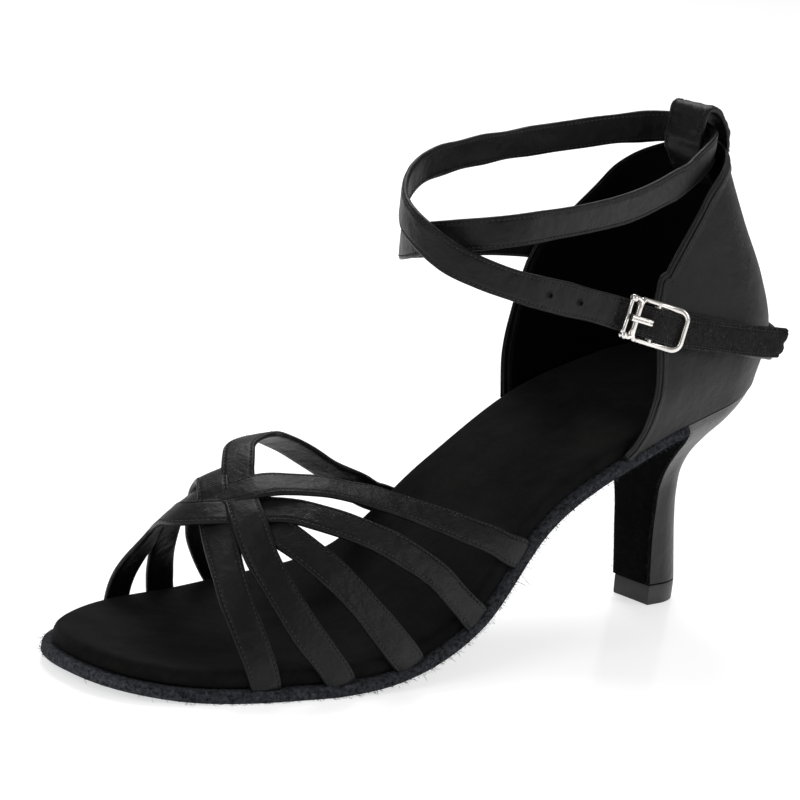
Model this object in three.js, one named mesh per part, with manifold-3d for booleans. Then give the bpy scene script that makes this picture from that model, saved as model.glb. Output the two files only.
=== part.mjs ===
// Ballroom dance shoe for the left foot: a strap sandal with a closed heel counter and a flared heel.
// Millimetres, +X towards the toe, +Y to the outer side of the foot, +Z up.
// The origin is the middle of the heel tip's bottom face.
import * as THREE from 'three';
import { mergeVertices } from 'three/addons/utils/BufferGeometryUtils.js';
import Module from 'manifold-3d';

const wasm = await Module();
wasm.setup();

// Driving sizes of the last and sole
const SOLE_LENGTH = 230;
const BALL_WIDTH = 79;
const WAIST_WIDTH = 53;
const SEAT_WIDTH = 54;
const SEAT_HEIGHT = 67.5;
const CROWN_HEIGHT = 49.5;
const OUTSOLE_THICKNESS = 3.2;
const FOOTBED_THICKNESS = 4.4;
const FOOTBED_ROUNDING = 0.25;
const CLEARANCE = 0.3;

// Heel
const BREAST_FROM_BACK = 45;
const TIP_FRONT_FROM_BACK = 30.5;
const TIP_WIDTH = 13.4;
const TIP_DEPTH = 15.3;
const TIP_HEIGHT = 6;
const FLAP_THICKNESS = 1.4;
const HEEL_INSET = 0.5;

// Heel counter
const COUNTER_HEIGHT = 62;
const COUNTER_WALL = 2;
const COUNTER_BULGE = 1.8;
const COUNTER_LEAN = 18.5;

// Straps
const VAMP_STRAP_WIDTH = 8.8;
const VAMP_STRAP_THICKNESS = 1.5;
const FOOT_SPARE = 4;
const ANKLE_STRAP_WIDTH = 8.6;
const ANKLE_STRAP_THICKNESS = 1.5;
const LOOP_WIDTH = 14;
const LOOP_THICKNESS = 1.4;
const LOOP_REACH = 11;
const ANKLE_LENGTH = 112;
const ANKLE_WIDTH = 57;
const ANKLE_RISE = 52;

// Buckle
const BUCKLE_LENGTH = 21.5;
const BUCKLE_SIDE_PLAY = 0.3;
const BUCKLE_BAR = 1.6;
const BUCKLE_CORNER = 3.2;
const BUCKLE_TILT = 15;
const OUTER_BAR = 1.1;
const OUTER_BAR_REACH = 3.5;
const KNOB = 2.2;
const PRONG_WIDTH = 1.6;
const PRONG_THICKNESS = 0.9;
const HOLE_LENGTH = 8.4;
const TAIL_DIP = 1.2;

// How finely curves are cut into facets
const SOLE_STEPS = 54;
const SOLE_COLUMNS = 6;
const COUNTER_COLUMNS = 30;
const COUNTER_LEVELS = 9;
const HEEL_SIDE_STEPS = 13;
const HEEL_LEVELS = 16;
const HEEL_LEVEL_POWER = 1.4;
const STRAP_STEPS = 32;
const LOOP_STEPS = 26;
const PRONG_STEPS = 20;
const WIRE_SIDES = 6;
const ANKLE_STEPS_PER_ROW = 3;

const EDGE_INSET = COUNTER_WALL + CLEARANCE;
const STRAP_SEAT_INSET = EDGE_INSET - CLEARANCE;

// Rows of the sole from the heel's back to the toe: the named width that it follows and its share,
// the centre line's shift as a share of the ball's width, and the underside's share of the seat's height.
const SOLE = [
  { at: 0.0, size: SEAT_WIDTH, share: 0.93, shift: 0.0, rise: 1.0 },
  { at: 0.13, size: SEAT_WIDTH, share: 1.0, shift: 0.0, rise: 0.896 },
  { at: 0.26, size: SEAT_WIDTH, share: 1.037, shift: 0.013, rise: 0.778 },
  { at: 0.41, size: WAIST_WIDTH, share: 1.0, shift: 0.025, rise: 0.525 },
  { at: 0.54, size: BALL_WIDTH, share: 0.81, shift: 0.044, rise: 0.184 },
  { at: 0.67, size: BALL_WIDTH, share: 1.0, shift: -0.025, rise: 0.03 },
  { at: 0.75, size: BALL_WIDTH, share: 0.99, shift: -0.05, rise: 0.0 },
  { at: 0.84, size: BALL_WIDTH, share: 0.92, shift: -0.067, rise: 0.0 },
  { at: 0.92, size: BALL_WIDTH, share: 0.84, shift: -0.067, rise: 0.006 },
  { at: 1.0, size: BALL_WIDTH, share: 0.785, shift: -0.05, rise: 0.038 },
];
const HEEL_ROUND = { until: 0.13, power: 1.9 };
const TOE_ROUND = { from: 0.8, power: 2.5 };

// Rows of the heel from its seat down to the tip: how much of the way from the tip's size to the
// seat's size the width and the depth have come, and the same for the front face's place.
const HEEL = [
  { down: 0.0, flare: 1.0, deep: 1.0, lean: 1.0 },
  { down: 0.05, flare: 0.9, deep: 0.83, lean: 0.78 },
  { down: 0.12, flare: 0.72, deep: 0.65, lean: 0.57 },
  { down: 0.22, flare: 0.45, deep: 0.38, lean: 0.39 },
  { down: 0.33, flare: 0.23, deep: 0.13, lean: 0.28 },
  { down: 0.44, flare: 0.1, deep: -0.01, lean: 0.21 },
  { down: 0.57, flare: 0.045, deep: -0.06, lean: 0.155 },
  { down: 0.71, flare: 0.02, deep: -0.045, lean: 0.12 },
  { down: 0.87, flare: 0.005, deep: -0.02, lean: 0.056 },
  { down: 1.0, flare: 0.0, deep: 0.0, lean: 0.0 },
];

// Rows of the counter's wall going up: share of the height, how far the back has moved as shares
// of the bulge (backwards) and of the lean (forwards), and the width as a share of the seat's.
const COUNTER_WALL_ROWS = [
  { up: 0.0, bulge: 0.0, lean: 0.0, width: 1.0 },
  { up: 0.24, bulge: 1.0, lean: 0.0, width: 1.09 },
  { up: 0.47, bulge: 0.0, lean: 0.17, width: 1.02 },
  { up: 0.7, bulge: 0.0, lean: 0.58, width: 0.87 },
  { up: 0.93, bulge: 0.0, lean: 0.93, width: 0.7 },
  { up: 1.1, bulge: 0.0, lean: 1.17, width: 0.58 },
];
// Rows of the counter's top line from its front edge to the middle of the back.
const COUNTER_TOP = [
  { at: 0.3, up: 0.012 },
  { at: 0.286, up: 0.052 },
  { at: 0.277, up: 0.12 },
  { at: 0.2721, up: 0.205 },
  { at: 0.2685, up: 0.289 },
  { at: 0.2665, up: 0.432 },
  { at: 0.2648, up: 0.572 },
  { at: 0.2586, up: 0.668 },
  { at: 0.239, up: 0.716 },
  { at: 0.196, up: 0.8 },
  { at: 0.148, up: 0.881 },
  { at: 0.125, up: 0.921 },
  { at: 0.086, up: 0.957 },
  { at: 0.03, up: 0.984 },
  { at: 0.0, up: 1.0 },
];
const COUNTER_LEAN_REACH = 0.283;
// How far forward the counter's inner wing reaches for each station of its outer one.
const INNER_WING = [
  { outer: 0, inner: 0 },
  { outer: 0.2, inner: 0.2 },
  { outer: 0.2675, inner: 0.264 },
  { outer: 0.3, inner: 0.268 },
];
// Where the counter's columns stand: close together round the back and at the upright front edge.
const COLUMNS = [
  { count: 0, place: 0 },
  { count: 0.04, place: 0.0015 },
  { count: 0.12, place: 0.012 },
  { count: 0.35, place: 0.13 },
  { count: 0.62, place: 0.62 },
  { count: 0.78, place: 0.87 },
  { count: 0.92, place: 0.91 },
  { count: 1, place: 1 },
];

// Rows of the vamp's crown over the forefoot, as shares of the crown's height.
const CROWN = [
  { at: 0.42, up: 0.93 },
  { at: 0.5, up: 0.93 },
  { at: 0.58, up: 0.95 },
  { at: 0.66, up: 0.99 },
  { at: 0.72, up: 1.0 },
  { at: 0.77, up: 0.96 },
  { at: 0.81, up: 0.86 },
  { at: 0.85, up: 0.71 },
  { at: 0.9, up: 0.5 },
];

// The vamp is braided from five flat straps, each running from its outer foot towards the inner one:
// the station, the place across the crown from the inner side (-1) to the outer side (1), and the
// lift over the crown in strap thicknesses, which takes one strap over or under the next. The
// third strap ends under the crossing.
const VAMP_STRAPS = {
  toe_strap: [
    { at: 0.838, across: 1.0, lift: 0.0 },
    { at: 0.852, across: 0.77, lift: 0.0 },
    { at: 0.856, across: 0.57, lift: 0.0 },
    { at: 0.851, across: 0.41, lift: 0.0 },
    { at: 0.842, across: 0.27, lift: 0.0 },
    { at: 0.83, across: 0.14, lift: 0.0 },
    { at: 0.816, across: 0.04, lift: 0.0 },
    { at: 0.803, across: -0.03, lift: 0.9 },
    { at: 0.787, across: -0.12, lift: 1.1 },
    { at: 0.77, across: -0.25, lift: 0.0 },
    { at: 0.752, across: -0.42, lift: -1.2 },
    { at: 0.728, across: -0.6, lift: -1.6 },
    { at: 0.7, across: -0.77, lift: -1.0 },
    { at: 0.676, across: -0.88, lift: -0.4 },
    { at: 0.65, across: -1.0, lift: 0.0 },
  ],
  second_strap: [
    { at: 0.744, across: 1.0, lift: 0.0 },
    { at: 0.79, across: 0.79, lift: 0.0 },
    { at: 0.81, across: 0.59, lift: 0.0 },
    { at: 0.8155, across: 0.42, lift: 0.3 },
    { at: 0.808, across: 0.26, lift: 1.1 },
    { at: 0.798, across: 0.14, lift: 0.8 },
    { at: 0.784, across: 0.035, lift: 0.5 },
    { at: 0.767, across: -0.05, lift: 2.0 },
    { at: 0.742, across: -0.14, lift: 4.2 },
    { at: 0.7, across: -0.21, lift: 5.0 },
    { at: 0.65, across: -0.3, lift: 4.6 },
    { at: 0.59, across: -0.42, lift: 3.2 },
    { at: 0.53, across: -0.56, lift: 1.5 },
    { at: 0.48, across: -0.8, lift: 0.4 },
    { at: 0.455, across: -1.0, lift: 0.0 },
  ],
  third_strap: [
    { at: 0.648, across: 1.0, lift: 0.0 },
    { at: 0.7, across: 0.79, lift: 0.0 },
    { at: 0.735, across: 0.64, lift: 0.0 },
    { at: 0.762, across: 0.52, lift: 0.0 },
    { at: 0.782, across: 0.39, lift: -0.3 },
    { at: 0.797, across: 0.25, lift: -0.8 },
    { at: 0.805, across: 0.12, lift: -0.9 },
  ],
  fourth_strap: [
    { at: 0.541, across: 1.0, lift: 0.0 },
    { at: 0.569, across: 0.84, lift: 0.0 },
    { at: 0.605, across: 0.67, lift: 0.0 },
    { at: 0.652, across: 0.53, lift: 0.0 },
    { at: 0.7, across: 0.43, lift: 0.0 },
    { at: 0.736, across: 0.36, lift: 0.0 },
    { at: 0.765, across: 0.29, lift: 0.0 },
    { at: 0.79, across: 0.22, lift: 0.0 },
    { at: 0.81, across: 0.15, lift: 0.3 },
    { at: 0.824, across: 0.08, lift: 1.0 },
    { at: 0.834, across: -0.02, lift: 1.0 },
    { at: 0.835, across: -0.12, lift: 0.4 },
    { at: 0.826, across: -0.28, lift: -1.2 },
    { at: 0.816, across: -0.44, lift: -2.2 },
    { at: 0.813, across: -0.62, lift: -2.4 },
    { at: 0.815, across: -0.84, lift: -1.0 },
    { at: 0.812, across: -1.0, lift: 0.0 },
  ],
  fifth_strap: [
    { at: 0.456, across: 1.0, lift: 0.0 },
    { at: 0.48, across: 0.8, lift: 0.0 },
    { at: 0.508, across: 0.62, lift: 0.0 },
    { at: 0.568, across: 0.42, lift: 0.0 },
    { at: 0.636, across: 0.3, lift: 0.3 },
    { at: 0.696, across: 0.23, lift: 0.7 },
    { at: 0.744, across: 0.18, lift: 1.0 },
    { at: 0.777, across: 0.125, lift: 1.3 },
    { at: 0.796, across: 0.07, lift: 0.9 },
    { at: 0.808, across: -0.02, lift: 0.3 },
    { at: 0.815, across: -0.16, lift: -0.5 },
    { at: 0.806, across: -0.32, lift: -1.6 },
    { at: 0.79, across: -0.5, lift: -2.6 },
    { at: 0.773, across: -0.7, lift: -2.2 },
    { at: 0.755, across: -0.87, lift: -0.9 },
    { at: 0.74, across: -1.0, lift: 0.0 },
  ],
};

// The ankle strap where it runs round the counter, from the buckle to the inner side: side 1 is the
// outer one, and the height is a share of the counter's.
const AROUND_COUNTER = [
  { at: 0.235, side: 1, up: 0.297, off: 0.5 },
  { at: 0.18, side: 1, up: 0.25, off: 0.3 },
  { at: 0.12, side: 1, up: 0.198, off: 0.3 },
  { at: 0.06, side: 1, up: 0.148, off: 0.3 },
  { at: 0.02, side: 1, up: 0.12, off: 0.3 },
  { at: 0.0, side: 1, up: 0.12, off: 0.3 },
  { at: 0.02, side: -1, up: 0.147, off: 0.3 },
  { at: 0.06, side: -1, up: 0.202, off: 0.3 },
  { at: 0.12, side: -1, up: 0.285, off: 0.3 },
  { at: 0.18, side: -1, up: 0.39, off: 0.3 },
  { at: 0.235, side: -1, up: 0.47, off: 0.6 },
];
// The strap's free part round the ankle: forward of the loop, across, and above the counter's seat,
// as shares of the ankle ring's length, half its width and its rise.
const FREE_PART = [
  { along: 0.5, across: -0.98, up: 0.598 },
  { along: 0.695, across: -0.82, up: 0.627 },
  { along: 0.845, across: -0.5, up: 0.675 },
  { along: 0.915, across: -0.14, up: 0.723 },
  { along: 0.94, across: 0.21, up: 0.79 },
  { along: 0.93, across: 0.53, up: 0.838 },
  { along: 0.895, across: 0.8, up: 0.877 },
  { along: 0.83, across: 0.94, up: 0.904 },
  { along: 0.72, across: 0.98, up: 0.929 },
  { along: 0.58, across: 0.95, up: 0.952 },
  { along: 0.44, across: 0.87, up: 0.983 },
  { along: 0.3, across: 0.73, up: 1.033 },
  { along: 0.15, across: 0.53, up: 1.098 },
  { along: 0.015, across: 0.28, up: 1.215 },
  { along: 0.0, across: 0.0, up: 1.255 },
  { along: 0.015, across: -0.27, up: 1.265 },
  { along: 0.13, across: -0.52, up: 1.237 },
  { along: 0.27, across: -0.73, up: 1.183 },
  { along: 0.44, across: -0.83, up: 1.133 },
  { along: 0.6, across: -0.81, up: 1.094 },
  { along: 0.76, across: -0.67, up: 1.048 },
  { along: 0.87, across: -0.42, up: 0.979 },
  { along: 0.975, across: 0.04, up: 0.9 },
  { along: 1.0, across: 0.38, up: 0.838 },
  { along: 0.975, across: 0.66, up: 0.752 },
  { along: 0.905, across: 0.86, up: 0.679 },
  { along: 0.8, across: 1.0, up: 0.61 },
  { along: 0.69, across: 1.1, up: 0.556 },
  { along: 0.58, across: 1.18, up: 0.502 },
];
// The middle of the buckle, in the same shares, and the free tail behind it.
const BUCKLE_PLACE = { along: 0.41, across: 1.281, up: 0.405 };
const FREE_TAIL = [
  { along: 0.22, across: 1.225, up: 0.32 },
  { along: 0.075, across: 1.216, up: 0.272 },
  { along: -0.075, across: 1.2, up: 0.232 },
];

// A smooth function through the rows' points, from one column to another.
function through(rows, from, to) {
  const x = rows.map(from);
  const y = rows.map(to);
  const last = x.length - 1;
  const slope = (i) => (y[i + 1] - y[i]) / (x[i + 1] - x[i]);
  const step = (i) => x[i + 1] - x[i];
  const tangent = x.map((_, i) => {
    if (i === 0) return slope(0);
    if (i === last) return slope(last - 1);
    return (slope(i - 1) * step(i) + slope(i) * step(i - 1)) / (step(i - 1) + step(i));
  });
  return (value) => {
    const v = Math.min(Math.max(value, x[0]), x[last]);
    let i = 0;
    while (i < last - 1 && v > x[i + 1]) i += 1;
    const h = step(i);
    const t = (v - x[i]) / h;
    const a = y[i] * (1 + 2 * t) * (1 - t) ** 2 + y[i + 1] * t * t * (3 - 2 * t);
    return a + tangent[i] * h * t * (1 - t) ** 2 - tangent[i + 1] * h * t * t * (1 - t);
  };
}

const at = (row) => row.at;
const soleHalf = through(SOLE, at, (row) => (row.size * row.share) / 2);
const soleCentre = through(SOLE, at, (row) => row.shift * BALL_WIDTH);
const soleCurve = through(SOLE, at, (row) => row.rise * SEAT_HEIGHT);
const soleUnder = (u) => Math.max(0, soleCurve(u));
const crownHeight = through(CROWN, at, (row) => row.up * CROWN_HEIGHT);
const counterTop = through([...COUNTER_TOP].reverse(), at, (row) => row.up * COUNTER_HEIGHT);
const wallUp = (row) => row.up * COUNTER_HEIGHT;
const wallShift = through(COUNTER_WALL_ROWS, wallUp, (row) => row.lean * COUNTER_LEAN - row.bulge * COUNTER_BULGE);
const wallWidth = through(COUNTER_WALL_ROWS, wallUp, (row) => row.width);
const innerWing = through(INNER_WING, (row) => row.outer, (row) => row.inner);
const columnPlace = through(COLUMNS, (row) => row.count, (row) => row.place);

// Half the sole's width at a station, narrowed by an inset, with the heel's and toe's round ends.
function halfWidth(u, inset) {
  const back = inset / SOLE_LENGTH;
  const front = 1 - back;
  let round = 1;
  if (u < HEEL_ROUND.until) {
    const t = Math.min(1, (HEEL_ROUND.until - u) / (HEEL_ROUND.until - back));
    round = (1 - t ** HEEL_ROUND.power) ** (1 / HEEL_ROUND.power);
  }
  if (u > TOE_ROUND.from) {
    const t = Math.min(1, (u - TOE_ROUND.from) / (front - TOE_ROUND.from));
    round = (1 - t ** TOE_ROUND.power) ** (1 / TOE_ROUND.power);
  }
  return (soleHalf(u) - inset) * round;
}

// A point over the sole's underside, at a height measured square to it.
function overSole(u, y, height) {
  const step = 0.002;
  const a = Math.max(0, u - step);
  const b = Math.min(1, u + step);
  const rise = (soleUnder(b) - soleUnder(a)) / ((b - a) * SOLE_LENGTH);
  const size = Math.hypot(1, rise);
  return new THREE.Vector3(u * SOLE_LENGTH - (rise / size) * height, y, soleUnder(u) + height / size);
}

// A closed body from a grid of points on its outer face and the matching grid on its inner face.
function shell(outer, inner) {
  const rows = outer.length;
  const columns = outer[0].length;
  const positions = [];
  for (const grid of [outer, inner]) {
    for (const row of grid) {
      for (const p of row) positions.push(p.x, p.y, p.z);
    }
  }
  const id = (side, i, j) => side * rows * columns + i * columns + j;
  const index = [];
  const quad = (a, b, c, d) => index.push(a, b, c, a, c, d);
  for (let i = 0; i < rows - 1; i += 1) {
    for (let j = 0; j < columns - 1; j += 1) {
      quad(id(0, i, j), id(0, i, j + 1), id(0, i + 1, j + 1), id(0, i + 1, j));
      quad(id(1, i, j), id(1, i + 1, j), id(1, i + 1, j + 1), id(1, i, j + 1));
    }
    quad(id(0, i, 0), id(0, i + 1, 0), id(1, i + 1, 0), id(1, i, 0));
    const j = columns - 1;
    quad(id(0, i, j), id(1, i, j), id(1, i + 1, j), id(0, i + 1, j));
  }
  for (let j = 0; j < columns - 1; j += 1) {
    quad(id(0, 0, j), id(1, 0, j), id(1, 0, j + 1), id(0, 0, j + 1));
    const i = rows - 1;
    quad(id(0, i, j), id(0, i, j + 1), id(1, i, j + 1), id(1, i, j));
  }
  return solid(positions, index);
}

// A body of rings that follow one another, closed by a strip cap at each end. Each ring runs down
// one side and back up the other, so that its points pair up across the body.
function ringBody(rings) {
  const count = rings[0].length;
  const positions = rings.flat().flatMap((p) => [p.x, p.y, p.z]);
  const index = [];
  for (let k = 0; k < rings.length - 1; k += 1) {
    for (let i = 0; i < count; i += 1) {
      const j = (i + 1) % count;
      const a = k * count;
      const b = a + count;
      index.push(a + i, a + j, b + j, a + i, b + j, b + i);
    }
  }
  for (let i = 0; i < count / 2 - 1; i += 1) {
    const j = count - 1 - i;
    index.push(i, j, j - 1, i, j - 1, i + 1);
    const far = (rings.length - 1) * count;
    index.push(far + i, far + j - 1, far + j, far + i, far + i + 1, far + j - 1);
  }
  return solid(positions, index);
}

// A closed geometry with shared corners, turned so that its faces point out.
function solid(positions, index) {
  const raw = new THREE.BufferGeometry();
  raw.setAttribute('position', new THREE.Float32BufferAttribute(positions, 3));
  raw.setIndex(index);
  const merged = mergeVertices(raw, 1e-4);
  const kept = [];
  const source = merged.index.array;
  for (let i = 0; i < source.length; i += 3) {
    const [a, b, c] = [source[i], source[i + 1], source[i + 2]];
    if (a !== b && b !== c && c !== a) kept.push(a, b, c);
  }
  if (volumeOf(merged.attributes.position, kept) < 0) {
    for (let i = 0; i < kept.length; i += 3) [kept[i], kept[i + 1]] = [kept[i + 1], kept[i]];
  }
  merged.setIndex(kept);
  return merged;
}

function volumeOf(position, index) {
  const a = new THREE.Vector3();
  const b = new THREE.Vector3();
  const c = new THREE.Vector3();
  let sum = 0;
  for (let i = 0; i < index.length; i += 3) {
    a.fromBufferAttribute(position, index[i]);
    b.fromBufferAttribute(position, index[i + 1]);
    c.fromBufferAttribute(position, index[i + 2]);
    sum += a.dot(b.cross(c)) / 6;
  }
  return sum;
}

function toManifold(geometry) {
  const vertProperties = new Float32Array(geometry.attributes.position.array);
  const triVerts = new Uint32Array(geometry.index.array);
  return new wasm.Manifold(new wasm.Mesh({ numProp: 3, vertProperties, triVerts }));
}

function fromManifold(body) {
  const mesh = body.getMesh();
  const geometry = new THREE.BufferGeometry();
  geometry.setAttribute('position', new THREE.Float32BufferAttribute(mesh.vertProperties, 3));
  geometry.setIndex([...mesh.triVerts]);
  return geometry;
}

function joined(geometries) {
  const bodies = geometries.map(toManifold);
  return fromManifold(bodies.slice(1).reduce((sum, body) => sum.add(body), bodies[0]));
}

function cut(geometry, tools) {
  return fromManifold(tools.map(toManifold).reduce((rest, tool) => rest.subtract(tool), toManifold(geometry)));
}

// Stations from one end of a stretch of the sole to the other, closer together at its round ends.
function stations(from, to, steps) {
  const list = [];
  for (let i = 0; i <= steps; i += 1) {
    const t = i / steps;
    list.push(from + (to - from) * (0.5 - 0.5 * Math.cos(Math.PI * t)));
  }
  return list;
}

// A layer of the sole between two heights over its underside.
function soleLayer({ from, to, inset, low, high, crowned }) {
  const upper = [];
  const lower = [];
  for (const u of stations(from, to, SOLE_STEPS)) {
    const half = halfWidth(u, inset);
    const top = [];
    const bottom = [];
    for (let j = 0; j <= SOLE_COLUMNS; j += 1) {
      const across = Math.sin((Math.PI / 2) * ((2 * j) / SOLE_COLUMNS - 1));
      const y = soleCentre(u) + half * across;
      const drop = crowned * across ** 8;
      top.push(overSole(u, y, high - drop));
      bottom.push(overSole(u, y, low));
    }
    upper.push(top);
    lower.push(bottom);
  }
  return shell(upper, lower);
}

const END_SHARE = 0.0004;
const breastAt = BREAST_FROM_BACK / SOLE_LENGTH;

// The heel's cross-section at a share of the way down, as a ring of points.
const heelDown = (row) => row.down;
const tipRatio = TIP_WIDTH / SEAT_WIDTH;
const heelFlare = through(HEEL, heelDown, (row) => tipRatio + (1 - tipRatio) * row.flare);
const depthRatio = TIP_DEPTH / BREAST_FROM_BACK;
const heelDeep = through(HEEL, heelDown, (row) => depthRatio + (1 - depthRatio) * row.deep);
const heelReach = BREAST_FROM_BACK - TIP_FRONT_FROM_BACK;
const heelFront = through(HEEL, heelDown, (row) => TIP_FRONT_FROM_BACK + heelReach * row.lean);

function heelRing(down) {
  const ring = [];
  const inset = HEEL_INSET * (1 - down);
  for (const side of [1, -1]) {
    const half = [];
    for (let i = 0; i <= HEEL_SIDE_STEPS; i += 1) {
      const t = i / HEEL_SIDE_STEPS;
      const back = inset / SOLE_LENGTH + END_SHARE;
      const u = breastAt + (back - breastAt) * Math.sin((Math.PI / 2) * t);
      const rim = overSole(u, 0, OUTSOLE_THICKNESS - CLEARANCE);
      const y = soleCentre(u) * (1 - down) + side * halfWidth(u, inset) * heelFlare(down);
      const x = heelFront(down) - (BREAST_FROM_BACK - u * SOLE_LENGTH) * heelDeep(down);
      const z = rim.z + (TIP_HEIGHT + CLEARANCE - rim.z) * down;
      half.push(new THREE.Vector3(x - (u * SOLE_LENGTH - rim.x) * (1 - down), y, z));
    }
    ring.push(...(side === 1 ? half : half.reverse()));
  }
  return ring;
}

function heelBlock() {
  const rings = [];
  const levels = HEEL_LEVELS;
  for (let k = 0; k <= levels; k += 1) rings.push(heelRing((k / levels) ** HEEL_LEVEL_POWER));
  return ringBody(rings);
}

function heelTip() {
  const rings = [];
  for (const z of [TIP_HEIGHT, 0]) rings.push(heelRing(1).map((p) => new THREE.Vector3(p.x, p.y, z)));
  return ringBody(rings);
}

// The sole's suede turned down over the heel's flat front face, as far as the tip.
function breastFlap() {
  const outer = [];
  const inner = [];
  const steps = HEEL_LEVELS;
  for (let k = 0; k <= steps; k += 1) {
    const down = (k / steps) ** HEEL_LEVEL_POWER;
    const ring = heelRing(down);
    const left = ring[0];
    const right = ring[ring.length - 1];
    const face = [];
    const back = [];
    for (const t of [0, 0.25, 0.5, 0.75, 1]) {
      const p = left.clone().lerp(right, t);
      back.push(p.clone().setX(p.x + CLEARANCE));
      face.push(p.clone().setX(p.x + CLEARANCE + FLAP_THICKNESS));
    }
    outer.push(face);
    inner.push(back);
  }
  return shell(outer, inner);
}

// The suede sheet under the sole in front of the heel, with its flap.
function outsole() {
  const sheet = soleLayer({
    from: breastAt + CLEARANCE / SOLE_LENGTH,
    to: 1 - END_SHARE,
    inset: 0,
    low: 0,
    high: OUTSOLE_THICKNESS,
    crowned: 0,
  });
  return joined([sheet, breastFlap()]);
}

function footbed() {
  const end = EDGE_INSET / SOLE_LENGTH + END_SHARE;
  return soleLayer({
    from: end,
    to: 1 - end,
    inset: EDGE_INSET,
    low: OUTSOLE_THICKNESS + CLEARANCE,
    high: OUTSOLE_THICKNESS + CLEARANCE + FOOTBED_THICKNESS,
    crowned: FOOTBED_THICKNESS * FOOTBED_ROUNDING,
  });
}

// A point of the counter's wall: station, side, height over the seat and depth into the wall.
function counterPoint(u, side, height, depth) {
  const base = overSole(u, 0, OUTSOLE_THICKNESS + CLEARANCE);
  const fade = Math.max(0, 1 - u / COUNTER_LEAN_REACH);
  const x = base.x + wallShift(height) * fade;
  const y = soleCentre(u) + side * halfWidth(u, depth) * wallWidth(height);
  return new THREE.Vector3(x, y, base.z + height);
}

function heelCounter() {
  const outer = [];
  const inner = [];
  const front = COUNTER_TOP[0].at;
  for (const side of [1, -1]) {
    for (let i = 0; i <= COUNTER_COLUMNS; i += 1) {
      if (side === -1 && i === 0) continue;
      const t = i / COUNTER_COLUMNS;
      const along = side === 1 ? 1 - t : t;
      const u = front * columnPlace(along);
      const wallShare = COUNTER_WALL / SOLE_LENGTH;
      const outside = side === 1 ? u : innerWing(u);
      const reach = side === 1 ? front : innerWing(front);
      const inside = wallShare + outside * (1 - wallShare / reach);
      const outerColumn = [];
      const innerColumn = [];
      const top = counterTop(u);
      for (let k = 0; k <= COUNTER_LEVELS; k += 1) {
        const height = (top * k) / COUNTER_LEVELS;
        outerColumn.push(counterPoint(outside, side, height, 0));
        innerColumn.push(counterPoint(inside, side, height, COUNTER_WALL));
      }
      outer.push(outerColumn);
      inner.push(innerColumn);
    }
  }
  return shell(outer, inner);
}


// A point of the crown that the vamp's straps lie on: an arch across the footbed at each station.
function crownPoint(u, across) {
  const angle = (Math.PI / 2) * across;
  const seat = overSole(u, 0, OUTSOLE_THICKNESS + CLEARANCE);
  const high = crownHeight(u) - seat.z;
  const y = soleCentre(u) + halfWidth(u, STRAP_SEAT_INSET) * Math.sin(angle);
  return new THREE.Vector3(seat.x, y, seat.z + high * Math.cos(angle));
}

// A place over the crown, with the way that the crown faces there.
function onCrown(u, across, lift) {
  const step = 0.001;
  const forward = crownPoint(u + step, across).sub(crownPoint(u - step, across));
  const outer = crownPoint(u, Math.min(1, across + step));
  const inner = crownPoint(u, Math.max(-1, across - step));
  const out = new THREE.Vector3().crossVectors(forward, outer.sub(inner)).normalize();
  return { point: crownPoint(u, across).addScaledVector(out, lift), out };
}

// A flat strap along a list of places, each with a point and the way that its outer face looks.
function strap(places, width, thickness) {
  const outer = [];
  const inner = [];
  places.forEach((place, i) => {
    const before = places[Math.max(0, i - 1)].point;
    const after = places[Math.min(places.length - 1, i + 1)].point;
    const along = after.clone().sub(before).normalize();
    const side = new THREE.Vector3().crossVectors(place.out, along).normalize();
    const out = new THREE.Vector3().crossVectors(along, side).normalize();
    const low = place.point.clone();
    const high = place.point.clone().addScaledVector(out, thickness);
    outer.push([high.clone().addScaledVector(side, -width / 2), high.clone().addScaledVector(side, width / 2)]);
    inner.push([low.clone().addScaledVector(side, -width / 2), low.clone().addScaledVector(side, width / 2)]);
  });
  return shell(outer, inner);
}

function vampStraps() {
  const steps = STRAP_STEPS;
  const bodies = Object.values(VAMP_STRAPS).map((rows) => {
    const step = rows.map((row, i) => ({ ...row, i }));
    const station = through(step, (row) => row.i, (row) => row.at);
    const across = through(step, (row) => row.i, (row) => row.across);
    const lift = through(step, (row) => row.i, (row) => row.lift * VAMP_STRAP_THICKNESS);
    const places = [];
    for (let i = 0; i <= steps; i += 1) {
      const t = ((rows.length - 1) * i) / steps;
      places.push(onCrown(station(t), across(t), lift(t)));
    }
    const below = ({ point, out }) => ({ point: point.clone().setZ(point.z - FOOT_SPARE), out });
    if (Math.abs(rows[0].across) === 1) places.unshift(below(places[0]));
    if (Math.abs(rows[rows.length - 1].across) === 1) places.push(below(places[places.length - 1]));
    return strap(places, VAMP_STRAP_WIDTH, VAMP_STRAP_THICKNESS);
  });
  const seat = {
    from: breastAt,
    to: 1 - END_SHARE,
    inset: -2 * VAMP_STRAP_THICKNESS,
    low: -2 * FOOT_SPARE,
    high: OUTSOLE_THICKNESS + CLEARANCE,
    crowned: 0,
  };
  const padding = {
    ...seat,
    inset: STRAP_SEAT_INSET,
    high: OUTSOLE_THICKNESS + FOOTBED_THICKNESS + 2 * CLEARANCE,
  };
  return cut(joined(bodies), [soleLayer(seat), soleLayer(padding)]);
}

// The middle of the back of the counter's top edge, on its outer face.
const counterBack = counterPoint(0, 1, COUNTER_HEIGHT, 0);
const counterSeat = counterPoint(0, 1, 0, 0);

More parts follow.
